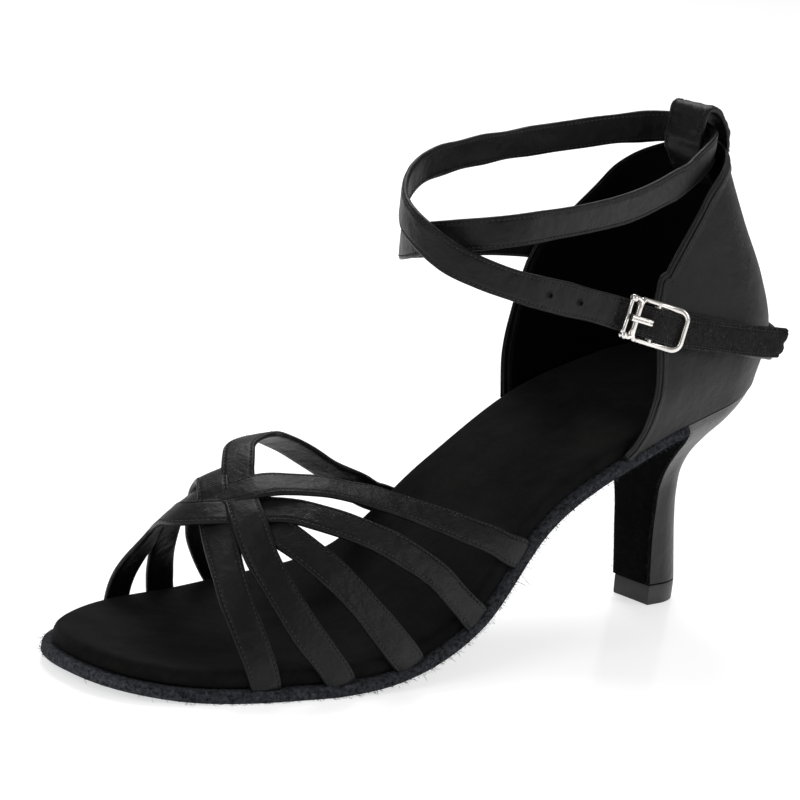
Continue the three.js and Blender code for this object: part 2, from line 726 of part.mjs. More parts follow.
// The fold-over loop: its middle line in the shoe's upright plane, as shares of its reach from
// the top of the counter's back edge.
const LOOP_LINE = [
  { forward: -0.24, up: -0.3 },
  { forward: -0.09, up: 0.05 },
  { forward: 0.2, up: 0.55 },
  { forward: 0.6, up: 0.95 },
  { forward: 0.95, up: 0.98 },
  { forward: 1.08, up: 0.6 },
  { forward: 1.12, up: 0.1 },
  { forward: 0.88, up: -0.42 },
  { forward: 0.34, up: -0.9 },
];

function strapLoop() {
  const wall = LOOP_THICKNESS;
  const line = LOOP_LINE.map(
    (row) => new THREE.Vector3(counterBack.x + row.forward * LOOP_REACH, 0, counterBack.z + row.up * LOOP_REACH),
  );
  const curve = new THREE.CatmullRomCurve3(line, false, 'centripetal');
  const places = [];
  const steps = LOOP_STEPS;
  for (let i = 0; i <= steps; i += 1) {
    const point = curve.getPoint(i / steps);
    const along = curve.getTangent(i / steps);
    const out = new THREE.Vector3(-along.z, 0, along.x);
    places.push({ point: point.addScaledVector(out, -wall / 2), out });
  }
  return strap(places, LOOP_WIDTH, wall);
}

const LOOP_MIDDLE = { forward: 0.64, up: 0.36 };
const loopCentre = new THREE.Vector3(
  counterBack.x + LOOP_MIDDLE.forward * LOOP_REACH,
  soleCentre(0),
  counterBack.z + LOOP_MIDDLE.up * LOOP_REACH,
);

// A place on the ankle ring from its shares.
function ringPlace(row) {
  return new THREE.Vector3(
    loopCentre.x + row.along * ANKLE_LENGTH,
    (row.across * ANKLE_WIDTH) / 2,
    counterSeat.z + row.up * ANKLE_RISE,
  );
}

// The buckle's own directions: along the strap to its front bar, across the strap, and outwards.
const tilt = THREE.MathUtils.degToRad(BUCKLE_TILT);
const ALONG = new THREE.Vector3(Math.cos(tilt), 0, Math.sin(tilt));
const ACROSS = new THREE.Vector3(-Math.sin(tilt), 0, Math.cos(tilt));
const OUT = new THREE.Vector3(0, 1, 0);
const tailOverBar = ringPlace(BUCKLE_PLACE);
const plyGap = ANKLE_STRAP_THICKNESS / 2 + CLEARANCE + BUCKLE_BAR / 2;
const centreBar = tailOverBar.clone().addScaledVector(OUT, -plyGap);
const endBarReach = (BUCKLE_LENGTH - BUCKLE_BAR) / 2;
const bow = 2 * plyGap - TAIL_DIP + 0.1;

function onBuckle(along, across, out) {
  return centreBar
    .clone()
    .addScaledVector(ALONG, along)
    .addScaledVector(ACROSS, across)
    .addScaledVector(OUT, out);
}

// The ankle strap's middle line from the buckle to the tail's end, and the way its width stands.
function ankleLine() {
  const under = plyGap + 0.35;
  const head = [
    { point: onBuckle(under, 0, 0.2), up: ACROSS },
    { point: onBuckle(under * 0.72, 0, -under * 0.72), up: ACROSS },
    { point: onBuckle(0, 0, -under), up: ACROSS },
    { point: onBuckle(-0.35 * endBarReach, 0, -under - 0.15), up: ACROSS },
  ];
  const round = AROUND_COUNTER.map((row) => {
    const height = row.up * COUNTER_HEIGHT - (counterPoint(row.at, 1, 0, 0).z - counterSeat.z);
    const stand = CLEARANCE + ANKLE_STRAP_THICKNESS / 2 + row.off;
    const half = ANKLE_STRAP_WIDTH / 2;
    const [point, above, below] = [height, height + half, height - half].map((h) => {
      const p = counterPoint(row.at, row.side, h, -stand);
      if (row.at < HEEL_ROUND.until) p.x -= stand * (1 - row.at / HEEL_ROUND.until);
      return p;
    });
    return { point, up: above.sub(below).normalize() };
  });
  const upright = new THREE.Vector3(0, 0, 1);
  const free = FREE_PART.map((row) => ({ point: ringPlace(row), up: upright }));
  const through = [1, 0, -1].map((end) => ({
    point: onBuckle(end * endBarReach, 0, plyGap - TAIL_DIP * end * end),
    up: ACROSS,
  }));
  const tail = FREE_TAIL.map((row) => ({ point: ringPlace(row), up: upright }));
  const places = [...head, ...round, ...free, ...through, ...tail];
  const smooth = (list) => new THREE.CatmullRomCurve3(list, false, 'centripetal');
  return {
    line: smooth(places.map((place) => place.point)),
    ups: smooth(places.map((place) => place.up)),
    count: places.length,
  };
}

function ankleStrap() {
  const { line, ups, count } = ankleLine();
  const steps = ANKLE_STEPS_PER_ROW * (count - 1);
  const places = [];
  for (let i = 0; i <= steps; i += 1) {
    const t = i / steps;
    const out = new THREE.Vector3().crossVectors(ups.getPoint(t), line.getTangent(t)).normalize();
    places.push({ point: line.getPoint(t).addScaledVector(out, -ANKLE_STRAP_THICKNESS / 2), out });
  }
  const slot = new THREE.BoxGeometry(HOLE_LENGTH, PRONG_WIDTH + 2 * CLEARANCE, 2 * ANKLE_STRAP_THICKNESS);
  placeOnBuckle(slot, HOLE_LENGTH / 6, 0, plyGap);
  return cut(strap(places, ANKLE_STRAP_WIDTH, ANKLE_STRAP_THICKNESS), [bare(slot)]);
}

// A stock geometry turned and moved into the buckle's directions.
function placeOnBuckle(geometry, along, across, out) {
  const turn = new THREE.Matrix4().makeBasis(ALONG, ACROSS.clone().negate(), OUT.clone());
  turn.setPosition(onBuckle(along, across, out));
  return geometry.applyMatrix4(turn);
}

// A stock geometry with only its corners left, shared between its faces.
function bare(geometry) {
  geometry.deleteAttribute('normal');
  geometry.deleteAttribute('uv');
  return mergeVertices(geometry, 1e-4);
}

// A round bar across the buckle.
function crossBar(along, out, diameter, length) {
  const bar = new THREE.CylinderGeometry(diameter / 2, diameter / 2, length, 8);
  return bare(placeOnBuckle(bar, along, 0, out));
}

// A bent wire along a line of points, closed into a loop or capped at its two ends.
function wire(points, diameter, loop) {
  const count = points.length;
  const rings = points.map((point, i) => {
    const before = points[loop ? (i + count - 1) % count : Math.max(0, i - 1)];
    const after = points[loop ? (i + 1) % count : Math.min(count - 1, i + 1)];
    const along = after.clone().sub(before).normalize();
    const side = new THREE.Vector3().crossVectors(along, OUT).normalize();
    const up = new THREE.Vector3().crossVectors(side, along);
    return Array.from({ length: WIRE_SIDES }, (_, k) => {
      const angle = (2 * Math.PI * (k + 0.5)) / WIRE_SIDES;
      return point
        .clone()
        .addScaledVector(side, (diameter / 2) * Math.cos(angle))
        .addScaledVector(up, (diameter / 2) * Math.sin(angle));
    });
  });
  if (!loop) return ringBody(rings);
  const positions = rings.flat().flatMap((p) => [p.x, p.y, p.z]);
  const index = [];
  for (let i = 0; i < count; i += 1) {
    for (let k = 0; k < WIRE_SIDES; k += 1) {
      const next = (k + 1) % WIRE_SIDES;
      const a = i * WIRE_SIDES;
      const b = ((i + 1) % count) * WIRE_SIDES;
      index.push(a + k, a + next, b + next, a + k, b + next, b + k);
    }
  }
  return solid(positions, index);
}

function buckleFrame() {
  const window = ANKLE_STRAP_WIDTH + 2 * BUCKLE_SIDE_PLAY;
  const rail = (window + BUCKLE_BAR) / 2;
  const corner = BUCKLE_CORNER - BUCKLE_BAR / 2;
  const path = [];
  const cornerSteps = 4;
  for (const [sx, sy, start] of [[1, 1, 0], [-1, 1, 1], [-1, -1, 2], [1, -1, 3]]) {
    for (let i = 0; i <= cornerSteps; i += 1) {
      const angle = (Math.PI / 2) * (start + i / cornerSteps);
      const x = sx * (endBarReach - corner) + corner * Math.cos(angle);
      const y = sy * (rail - corner) + corner * Math.sin(angle);
      path.push([x, y]);
    }
    const next = -sx * sy > 0 ? 0 : sx;
    if (next !== 0) for (const t of [0.5, 0, -0.5]) path.push([next * t * (endBarReach - corner), sy * rail]);
  }
  const frame = path.map(([x, y]) => onBuckle(x, y, bow * (x / endBarReach) ** 2));
  const onCorner = corner * (1 - Math.SQRT1_2);
  const bendRow = [
    [endBarReach - onCorner, rail - onCorner],
    [endBarReach + 0.4 * OUTER_BAR_REACH, rail],
    [endBarReach + 0.85 * OUTER_BAR_REACH, rail - 0.25 * OUTER_BAR],
    [endBarReach + OUTER_BAR_REACH, rail - OUTER_BAR],
  ];
  const mirrored = [...bendRow].reverse().map(([x, y]) => [x, -y]);
  const bail = [...bendRow, [endBarReach + OUTER_BAR_REACH, 0], ...mirrored];
  const knobs = [1, -1].map((side) => {
    const knob = new THREE.SphereGeometry(KNOB / 2, 7, 5);
    return bare(placeOnBuckle(knob, endBarReach + 0.85 * OUTER_BAR_REACH, side * (rail - 0.25 * OUTER_BAR), bow));
  });
  return joined([
    wire(frame, BUCKLE_BAR, true),
    wire(bail.map(([x, y]) => onBuckle(x, y, bow)), OUTER_BAR, false),
    crossBar(0, 0, BUCKLE_BAR, 2 * rail),
    ...knobs,
  ]);
}

// The prong: from its hook over the centre bar, up through the tail's hole, onto the front bar.
function buckleProng() {
  const lie = bow + BUCKLE_BAR / 2 + CLEARANCE + PRONG_THICKNESS / 2;
  const hook = BUCKLE_BAR / 2 + CLEARANCE + PRONG_THICKNESS / 2;
  const line = [
    [-hook, -0.3],
    [-hook * 0.75, hook * 0.75],
    [0, hook],
    [0.34 * endBarReach, hook + 0.3 * (lie - hook)],
    [0.52 * endBarReach, lie],
    [0.75 * endBarReach, lie + 0.1],
    [endBarReach, lie + 0.05],
    [endBarReach + OUTER_BAR_REACH, lie],
  ].map(([along, out]) => onBuckle(along, 0, out));
  const curve = new THREE.CatmullRomCurve3(line, false, 'centripetal');
  const steps = PRONG_STEPS;
  const places = [];
  for (let i = 0; i <= steps; i += 1) {
    const out = new THREE.Vector3().crossVectors(curve.getTangent(i / steps), ACROSS).negate().normalize();
    places.push({ point: curve.getPoint(i / steps).addScaledVector(out, -PRONG_THICKNESS / 2), out });
  }
  return strap(places, PRONG_WIDTH, PRONG_THICKNESS);
}

const SATIN = new THREE.MeshStandardMaterial({ color: 0x111113, roughness: 0.55, metalness: 0 });
const SUEDE = new THREE.MeshStandardMaterial({ color: 0x14151a, roughness: 0.98, metalness: 0 });
const FOAM = new THREE.MeshStandardMaterial({ color: 0x0e0e0f, roughness: 0.9, metalness: 0 });
const PLASTIC = new THREE.MeshStandardMaterial({ color: 0x1b1b1d, roughness: 0.45, metalness: 0 });
const NICKEL = new THREE.MeshStandardMaterial({ color: 0xcfcac4, roughness: 0.25, metalness: 1 });

const PARTS = [
  { name: 'outsole', make: outsole, material: SUEDE },
  { name: 'footbed', make: footbed, material: FOAM },
  { name: 'heel_block', make: heelBlock, material: SATIN },
  { name: 'heel_tip', make: heelTip, material: PLASTIC },
  { name: 'heel_counter', make: heelCounter, material: SATIN },
  { name: 'vamp_straps', make: vampStraps, material: SATIN },
  { name: 'strap_loop', make: strapLoop, material: SATIN },
  { name: 'ankle_strap', make: ankleStrap, material: SATIN },
  { name: 'buckle_frame', make: buckleFrame, material: NICKEL },
  { name: 'buckle_prong', make: buckleProng, material: NICKEL },
];

const shoe = new THREE.Group();
for (const part of PARTS) {
  const mesh = new THREE.Mesh(part.make(), part.material);
  mesh.name = part.name;
  mesh.position.x = TIP_DEPTH / 2 - TIP_FRONT_FROM_BACK;
  shoe.add(mesh);
}

export default shoe;
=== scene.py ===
# Ballroom dance shoe for the left foot, dressed over its solids.
# Lengths in the tables are millimetres, +X towards the toe, +Y to the outer side, +Z up.
import bmesh
import bpy
import math
import numpy as np
from mathutils import Matrix, Vector


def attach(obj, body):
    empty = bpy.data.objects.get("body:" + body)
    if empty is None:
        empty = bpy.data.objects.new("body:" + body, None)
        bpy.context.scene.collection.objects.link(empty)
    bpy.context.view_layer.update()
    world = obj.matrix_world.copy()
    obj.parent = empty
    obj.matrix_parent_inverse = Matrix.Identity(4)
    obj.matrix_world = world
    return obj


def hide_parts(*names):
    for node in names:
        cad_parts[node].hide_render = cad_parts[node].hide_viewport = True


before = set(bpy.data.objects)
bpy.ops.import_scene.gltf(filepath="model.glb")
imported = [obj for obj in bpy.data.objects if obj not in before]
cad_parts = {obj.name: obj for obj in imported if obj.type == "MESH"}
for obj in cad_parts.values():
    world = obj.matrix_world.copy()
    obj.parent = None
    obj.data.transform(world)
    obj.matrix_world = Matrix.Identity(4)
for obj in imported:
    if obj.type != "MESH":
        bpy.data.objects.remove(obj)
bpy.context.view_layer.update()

MM = 0.001
SOLE_LENGTH = 230.0
BALL_WIDTH = 79.0
WAIST_WIDTH = 53.0
SEAT_WIDTH = 54.0
SEAT_HEIGHT = 67.5
CROWN_HEIGHT = 49.5
OUTSOLE_THICKNESS = 3.2
FOOTBED_THICKNESS = 4.4
CLEARANCE = 0.3
BREAST_FROM_BACK = 45.0
TIP_FRONT_FROM_BACK = 30.5
TIP_WIDTH = 13.4
TIP_DEPTH = 15.3
TIP_HEIGHT = 6.0
FLAP_THICKNESS = 1.4
FOOT_DEPTH = 0.6
HEEL_INSET = 0.5
COUNTER_HEIGHT = 62.0
COUNTER_WALL = 2.0
COUNTER_BULGE = 1.8
COUNTER_LEAN = 18.5
VAMP_STRAP_WIDTH = 8.8
VAMP_STRAP_THICKNESS = 1.5
ANKLE_STRAP_WIDTH = 8.6
ANKLE_STRAP_THICKNESS = 1.5
LOOP_WIDTH = 14.0
LOOP_THICKNESS = 1.4
LOOP_REACH = 11.0
ANKLE_LENGTH = 112.0
ANKLE_WIDTH = 57.0
ANKLE_RISE = 52.0
BUCKLE_LENGTH = 21.5
BUCKLE_SIDE_PLAY = 0.3
BUCKLE_BAR = 1.6
BUCKLE_CORNER = 3.2
BUCKLE_TILT = 15.0
OUTER_BAR = 1.1
OUTER_BAR_REACH = 3.5
KNOB = 2.2
TAIL_DIP = 1.2
EDGE_INSET = COUNTER_WALL + CLEARANCE
SEAT_INSET = COUNTER_WALL
X_SHIFT = TIP_DEPTH / 2 - TIP_FRONT_FROM_BACK

# Sole: station, width, shift of the centre line, rise of the underside.
SOLE = np.array([
    [0.0, 0.93 * SEAT_WIDTH, 0.0, 1.0],
    [0.13, 1.0 * SEAT_WIDTH, 0.0, 0.896],
    [0.26, 1.037 * SEAT_WIDTH, 0.013, 0.778],
    [0.41, 1.0 * WAIST_WIDTH, 0.025, 0.525],
    [0.54, 0.81 * BALL_WIDTH, 0.044, 0.184],
    [0.67, 1.0 * BALL_WIDTH, -0.025, 0.03],
    [0.75, 0.99 * BALL_WIDTH, -0.05, 0.0],
    [0.84, 0.92 * BALL_WIDTH, -0.067, 0.0],
    [0.92, 0.84 * BALL_WIDTH, -0.067, 0.006],
    [1.0, 0.785 * BALL_WIDTH, -0.05, 0.038],
])
HEEL_ROUND_UNTIL, HEEL_ROUND_POWER = 0.13, 1.9
TOE_ROUND_FROM, TOE_ROUND_POWER = 0.8, 2.5

# Heel: share of the way down, flare of the width, of the depth, and lean of the front face.
HEEL = np.array([
    [0.0, 1.0, 1.0, 1.0], [0.05, 0.9, 0.83, 0.78], [0.12, 0.72, 0.65, 0.57], [0.22, 0.45, 0.38, 0.39],
    [0.33, 0.23, 0.13, 0.28], [0.44, 0.1, -0.01, 0.21], [0.57, 0.045, -0.06, 0.155],
    [0.71, 0.02, -0.045, 0.12], [0.87, 0.005, -0.02, 0.056], [1.0, 0.0, 0.0, 0.0],
])
# Counter's wall: share of the height, bulge, lean, width.
WALL = np.array([
    [0.0, 0.0, 0.0, 1.0], [0.24, 1.0, 0.0, 1.09], [0.47, 0.0, 0.17, 1.02],
    [0.7, 0.0, 0.58, 0.87], [0.93, 0.0, 0.93, 0.7], [1.1, 0.0, 1.17, 0.58],
])
# Counter's top line: station and share of the height.
TOP = np.array([
    [0.0, 1.0], [0.03, 0.984], [0.086, 0.957], [0.125, 0.921], [0.148, 0.881], [0.196, 0.8],
    [0.239, 0.716], [0.2586, 0.668], [0.2648, 0.572], [0.2665, 0.432], [0.2685, 0.289],
    [0.2721, 0.205], [0.277, 0.12], [0.286, 0.052], [0.3, 0.012],
])
COUNTER_LEAN_REACH = 0.283
# How far forward the inner wing reaches for each station of the outer one.
INNER_WING = np.array([[0.0, 0.0], [0.2, 0.2], [0.2675, 0.264], [0.3, 0.268]])
CROWN = np.array([
    [0.42, 0.93], [0.5, 0.93], [0.58, 0.95], [0.66, 0.99], [0.72, 1.0], [0.77, 0.96], [0.81, 0.86],
    [0.85, 0.71], [0.9, 0.5],
])
# The five braided straps of the vamp from the outer foot towards the inner one: station, place
# across the crown from the inner side (-1) to the outer side (1), lift in strap thicknesses.
VAMP = {
    "toe_strap": [
        [0.838, 1.0, 0], [0.852, 0.77, 0], [0.856, 0.57, 0], [0.851, 0.41, 0], [0.842, 0.27, 0],
        [0.83, 0.14, 0], [0.816, 0.04, 0], [0.803, -0.03, 0.9], [0.787, -0.12, 1.1],
        [0.77, -0.25, 0], [0.752, -0.42, -1.2], [0.728, -0.6, -1.6], [0.7, -0.77, -1],
        [0.676, -0.88, -0.4], [0.65, -1.0, 0],
    ],
    "second_strap": [
        [0.744, 1.0, 0], [0.79, 0.79, 0], [0.81, 0.59, 0], [0.8155, 0.42, 0.3], [0.808, 0.26, 1.1],
        [0.798, 0.14, 0.8], [0.784, 0.035, 0.5], [0.767, -0.05, 2], [0.742, -0.14, 4.2],
        [0.7, -0.21, 5], [0.65, -0.3, 4.6], [0.59, -0.42, 3.2], [0.53, -0.56, 1.5],
        [0.48, -0.8, 0.4], [0.455, -1.0, 0],
    ],
    "third_strap": [
        [0.648, 1.0, 0], [0.7, 0.79, 0], [0.735, 0.64, 0], [0.762, 0.52, 0], [0.782, 0.39, -0.3],
        [0.797, 0.25, -0.8], [0.805, 0.12, -0.9],
    ],
    "fourth_strap": [
        [0.541, 1.0, 0], [0.569, 0.84, 0], [0.605, 0.67, 0], [0.652, 0.53, 0], [0.7, 0.43, 0],
        [0.736, 0.36, 0], [0.765, 0.29, 0], [0.79, 0.22, 0], [0.81, 0.15, 0.3], [0.824, 0.08, 1],
        [0.834, -0.02, 1], [0.835, -0.12, 0.4], [0.826, -0.28, -1.2], [0.816, -0.44, -2.2],
        [0.813, -0.62, -2.4], [0.815, -0.84, -1], [0.812, -1.0, 0],
    ],
    "fifth_strap": [
        [0.456, 1.0, 0], [0.48, 0.8, 0], [0.508, 0.62, 0], [0.568, 0.42, 0], [0.636, 0.3, 0.3],
        [0.696, 0.23, 0.7], [0.744, 0.18, 1], [0.777, 0.125, 1.3], [0.796, 0.07, 0.9],
        [0.808, -0.02, 0.3], [0.815, -0.16, -0.5], [0.806, -0.32, -1.6], [0.79, -0.5, -2.6],
        [0.773, -0.7, -2.2], [0.755, -0.87, -0.9], [0.74, -1.0, 0],
    ],
}
# Ankle strap round the counter: station, side, share of the height, distance off the wall.
AROUND = [
    [0.235, 1, 0.297, 0.5], [0.18, 1, 0.25, 0.3], [0.12, 1, 0.198, 0.3], [0.06, 1, 0.148, 0.3],
    [0.02, 1, 0.12, 0.3], [0.0, 1, 0.12, 0.3], [0.02, -1, 0.147, 0.3], [0.06, -1, 0.202, 0.3],
    [0.12, -1, 0.285, 0.3], [0.18, -1, 0.39, 0.3], [0.235, -1, 0.47, 0.6],
]
# Its free part: forward of the loop, across and up, as shares of the ankle ring's sizes.
FREE = [
    [0.5, -0.98, 0.598], [0.695, -0.82, 0.627], [0.845, -0.5, 0.675], [0.915, -0.14, 0.723],
    [0.94, 0.21, 0.79], [0.93, 0.53, 0.838], [0.895, 0.8, 0.877], [0.83, 0.94, 0.904],
    [0.72, 0.98, 0.929], [0.58, 0.95, 0.952], [0.44, 0.87, 0.983], [0.3, 0.73, 1.033],
    [0.15, 0.53, 1.098], [0.015, 0.28, 1.215], [0.0, 0.0, 1.255], [0.015, -0.27, 1.265],
    [0.13, -0.52, 1.237], [0.27, -0.73, 1.183], [0.44, -0.83, 1.133], [0.6, -0.81, 1.094],
    [0.76, -0.67, 1.048], [0.87, -0.42, 0.979], [0.975, 0.04, 0.9], [1.0, 0.38, 0.838],
    [0.975, 0.66, 0.752], [0.905, 0.86, 0.679], [0.8, 1.0, 0.61], [0.69, 1.1, 0.556],
    [0.58, 1.18, 0.502],
]
BUCKLE_PLACE = [0.41, 1.281, 0.405]
TAIL = [[0.22, 1.225, 0.32], [0.075, 1.216, 0.272], [-0.075, 1.2, 0.232]]
LOOP = [
    [-0.24, -0.3], [-0.09, 0.05], [0.2, 0.55], [0.6, 0.95], [0.95, 0.98],
    [1.08, 0.6], [1.12, 0.1], [0.88, -0.42], [0.34, -0.9],
]
LOOP_MIDDLE = (0.64, 0.36)


# Curves of the last and the sole

def through(xs, ys):
    """A smooth function through points, the same as in the part."""
    x = np.array(xs, float)
    y = np.array(ys, float)
    h = np.diff(x)
    s = np.diff(y) / h
    m = np.empty(len(x))
    m[0], m[-1] = s[0], s[-1]
    m[1:-1] = (s[:-1] * h[1:] + s[1:] * h[:-1]) / (h[1:] + h[:-1])

    def value(v):
        v = np.clip(np.asarray(v, float), x[0], x[-1])
        i = np.clip(np.searchsorted(x, v, side="right") - 1, 0, len(x) - 2)
        t = (v - x[i]) / h[i]
        a = y[i] * (1 + 2 * t) * (1 - t) ** 2 + y[i + 1] * t * t * (3 - 2 * t)
        return a + m[i] * h[i] * t * (1 - t) ** 2 - m[i + 1] * h[i] * t * t * (1 - t)

    return value


sole_half = through(SOLE[:, 0], SOLE[:, 1] / 2)
sole_centre = through(SOLE[:, 0], SOLE[:, 2] * BALL_WIDTH)
sole_curve = through(SOLE[:, 0], SOLE[:, 3] * SEAT_HEIGHT)
crown_height = through(CROWN[:, 0], CROWN[:, 1] * CROWN_HEIGHT)
counter_top = through(TOP[:, 0], TOP[:, 1] * COUNTER_HEIGHT)
wall_shift = through(WALL[:, 0] * COUNTER_HEIGHT,
                     WALL[:, 2] * COUNTER_LEAN - WALL[:, 1] * COUNTER_BULGE)
wall_width = through(WALL[:, 0] * COUNTER_HEIGHT, WALL[:, 3])
inner_wing = through(INNER_WING[:, 0], INNER_WING[:, 1])


def wing_place(u, side):
    """The station that a point of the outer wing has on the given side's wing."""
    return inner_wing(u) if side == -1 else np.asarray(u, float)


def sole_under(u):
    return np.maximum(0.0, sole_curve(u))


def half_width(u, inset):
    u = np.asarray(u, float)
    back = inset / SOLE_LENGTH
    front = 1 - back
    t = np.clip((HEEL_ROUND_UNTIL - u) / (HEEL_ROUND_UNTIL - back), 0, 1)
    heel = (1 - t ** HEEL_ROUND_POWER) ** (1 / HEEL_ROUND_POWER)
    t = np.clip((u - TOE_ROUND_FROM) / (front - TOE_ROUND_FROM), 0, 1)
    toe = (1 - t ** TOE_ROUND_POWER) ** (1 / TOE_ROUND_POWER)
    return (sole_half(u) - inset) * heel * toe


def over_sole(u, y, height):
    u, y, height = np.broadcast_arrays(np.asarray(u, float), y, height)
    a = np.maximum(0, u - 0.002)
    b = np.minimum(1, u + 0.002)
    rise = (sole_under(b) - sole_under(a)) / ((b - a) * SOLE_LENGTH)
    size = np.hypot(1, rise)
    return np.stack([u * SOLE_LENGTH - rise / size * height, y, sole_under(u) + height / size], -1)


def unit(v):
    v = np.asarray(v, float)
    return v / np.maximum(np.linalg.norm(v, axis=-1, keepdims=True), 1e-12)


# Meshes, straps and stitches

def add_mesh(name, verts, faces, material, uv=None, sharp=None):
    """A mesh from millimetres in the fit's frame, put into the part's frame in metres."""
    verts = (np.asarray(verts, float) + [X_SHIFT, 0, 0]) * MM
    me = bpy.data.meshes.new(name)
    me.from_pydata(verts.tolist(), [], faces)
    me.polygons.foreach_set("use_smooth", [True] * len(me.polygons))
    if uv is not None:
        layer = me.uv_layers.new(name="weave")
        layer.data.foreach_set("uv", np.asarray(uv, float).reshape(-1))
    me.update()
    if sharp is not None:
        me.set_sharp_from_angle(angle=math.radians(sharp))
    me.materials.append(material)
    obj = bpy.data.objects.new(name, me)
    bpy.context.scene.collection.objects.link(obj)
    return obj


def dress(obj, slot, *nodes):
    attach(obj, "root")
    if nodes:
        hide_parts(*nodes)
    return obj


def quads(rows, cols, wrap_cols=False, wrap_rows=False, offset=0):
    r = np.arange(rows if wrap_rows else rows - 1)[:, None]
    c = np.arange(cols if wrap_cols else cols - 1)[None, :]
    r2, c2 = (r + 1) % rows, (c + 1) % cols
    q = np.stack(np.broadcast_arrays(r * cols + c, r * cols + c2, r2 * cols + c2, r2 * cols + c), -1)
    return q.reshape(-1, 4) + offset


class Soup:
    """Many small closed shapes that are gathered into one mesh."""

    def __init__(self):
        self.verts, self.faces, self.count = [], [], 0

    def add(self, verts, faces):
        self.verts.append(np.asarray(verts, float))
        self.faces += [[int(i) + self.count for i in f] for f in faces]
        self.count += len(verts)

    def build(self, name, material, sharp=None):
        return add_mesh(name, np.vstack(self.verts), self.faces, material, sharp=sharp)


def rod(path, radius, sides=6, taper=0.6):
    """A short closed rod along points, narrower at its two ends."""
    path = np.asarray(path, float)
    along = unit(np.gradient(path, axis=0))
    ref = np.array([0.31, 0.2, 0.93])
    side = unit(np.cross(along, ref))
    up = np.cross(side, along)
    ang = np.linspace(0, 2 * np.pi, sides, endpoint=False)
    r = np.full(len(path), radius)
    r[0] *= taper
    r[-1] *= taper
    ring = (side[:, None] * np.cos(ang)[None, :, None] + up[:, None] * np.sin(ang)[None, :, None])
    verts = (path[:, None] + ring * r[:, None, None]).reshape(-1, 3)
    faces = quads(len(path), sides, wrap_cols=True).tolist()
    faces.append(list(range(sides))[::-1])
    faces.append([(len(path) - 1) * sides + k for k in range(sides)])
    return verts, faces


def catmull(points, per=12):
    """A centripetal curve through points."""
    p = np.asarray(points, float)
    p = np.vstack([2 * p[0] - p[1], p, 2 * p[-1] - p[-2]])
    out = []
    for i in range(1, len(p) - 2):
        a, b, c, d = p[i - 1:i + 3]
        t0 = 0.0
        t1 = t0 + np.linalg.norm(b - a) ** 0.5
        t2 = t1 + np.linalg.norm(c - b) ** 0.5
        t3 = t2 + np.linalg.norm(d - c) ** 0.5
        t = np.linspace(t1, t2, per, endpoint=False)[:, None]
        a1 = (t1 - t) / (t1 - t0) * a + (t - t0) / (t1 - t0) * b
        a2 = (t2 - t) / (t2 - t1) * b + (t - t1) / (t2 - t1) * c
        a3 = (t3 - t) / (t3 - t2) * c + (t - t2) / (t3 - t2) * d
        b1 = (t2 - t) / (t2 - t0) * a1 + (t - t0) / (t2 - t0) * a2
        b2 = (t3 - t) / (t3 - t1) * a2 + (t - t1) / (t3 - t1) * a3
        out.append((t2 - t) / (t2 - t1) * b1 + (t - t1) / (t2 - t1) * b2)
    return np.vstack(out + [p[-2:-1]])


def even(points, step, extra=None):
    """The same line with its points an even step apart, with values carried along."""
    d = np.r_[0, np.cumsum(np.linalg.norm(np.diff(points, axis=0), axis=1))]
    n = max(4, int(round(d[-1] / step)))
    t = np.linspace(0, d[-1], n + 1)
    out = np.stack([np.interp(t, d, points[:, k]) for k in range(3)], -1)
    if extra is None:
        return out
    return out, np.stack([np.interp(t, d, extra[:, k]) for k in range(extra.shape[1])], -1)


def calm(values, rounds):
    """Smooths a list of points, keeping its two ends."""
    v = values.copy()
    for _ in range(rounds):
        v[1:-1] = 0.25 * v[:-2] + 0.5 * v[1:-1] + 0.25 * v[2:]
    return v


STITCH_INSET = 1.0
STITCH_MARGIN = 2.0
STITCH_PITCH = 1.3
STITCH_LENGTH = 0.85
STITCH_RADIUS = 0.18
STITCH_ARCH = (-0.02, 0.1, -0.02)
STITCH_SINK = 0.12
INNER_STITCH_SINK = 0.1


def strap_section(width, thickness):
    """The strap's cross-section: rounded folds at its edges and a shallow trough under each stitch row."""
    half = width / 2
    r = thickness / 2
    top = []
    for s in (0.0, 0.3, 0.55, 0.68):
        top.append((half * s, thickness + 0.12 * (1 - s)))
    top += [(half - STITCH_INSET, thickness - 0.25), (half - 0.68, thickness - 0.02)]
    edge = [(half - r * (1 - math.cos(a)), r + r * math.sin(a)) for a in np.radians([62, 32, 0, -32, -62])]
    low = [(half - 1.2, 0.0), (half * 0.5, 0.0), (0.0, 0.0)]
    right = top + edge + low
    left = [(-s, o) for s, o in right[1:-1]][::-1]
    return np.array(right + left)


def noise_1d(n, step, period, seed):
    """Slow wandering values along a line."""
    g = np.random.default_rng(seed)
    knots = max(4, int(n * step / period) + 3)
    v = g.normal(0, 1, knots)
    x = np.linspace(0, knots - 1, n)
    i = np.clip(x.astype(int), 0, knots - 2)
    t = x - i
    t = t * t * (3 - 2 * t)
    return v[i] * (1 - t) + v[i + 1] * t


def frames(points, outs):
    along = unit(np.gradient(points, axis=0))
    side = unit(np.cross(outs, along))
    out = unit(np.cross(along, side))
    return along, side, out


def weave_places(length, section):
    """The distance along and round the strap, in mm, at each corner of its side faces."""
    cols = len(section)
    closed = np.vstack([section, section[:1]])
    round_way = np.r_[0, np.cumsum(np.linalg.norm(np.diff(closed, axis=0), axis=1))]
    r, c = np.divmod(np.arange((len(length) - 1) * cols), cols)
    corners = [(r, c), (r, c + 1), (r + 1, c + 1), (r + 1, c)]
    uv = np.stack([np.stack([length[a], round_way[b]], -1) for a, b in corners], 1)
    return uv.reshape(-1, 2)


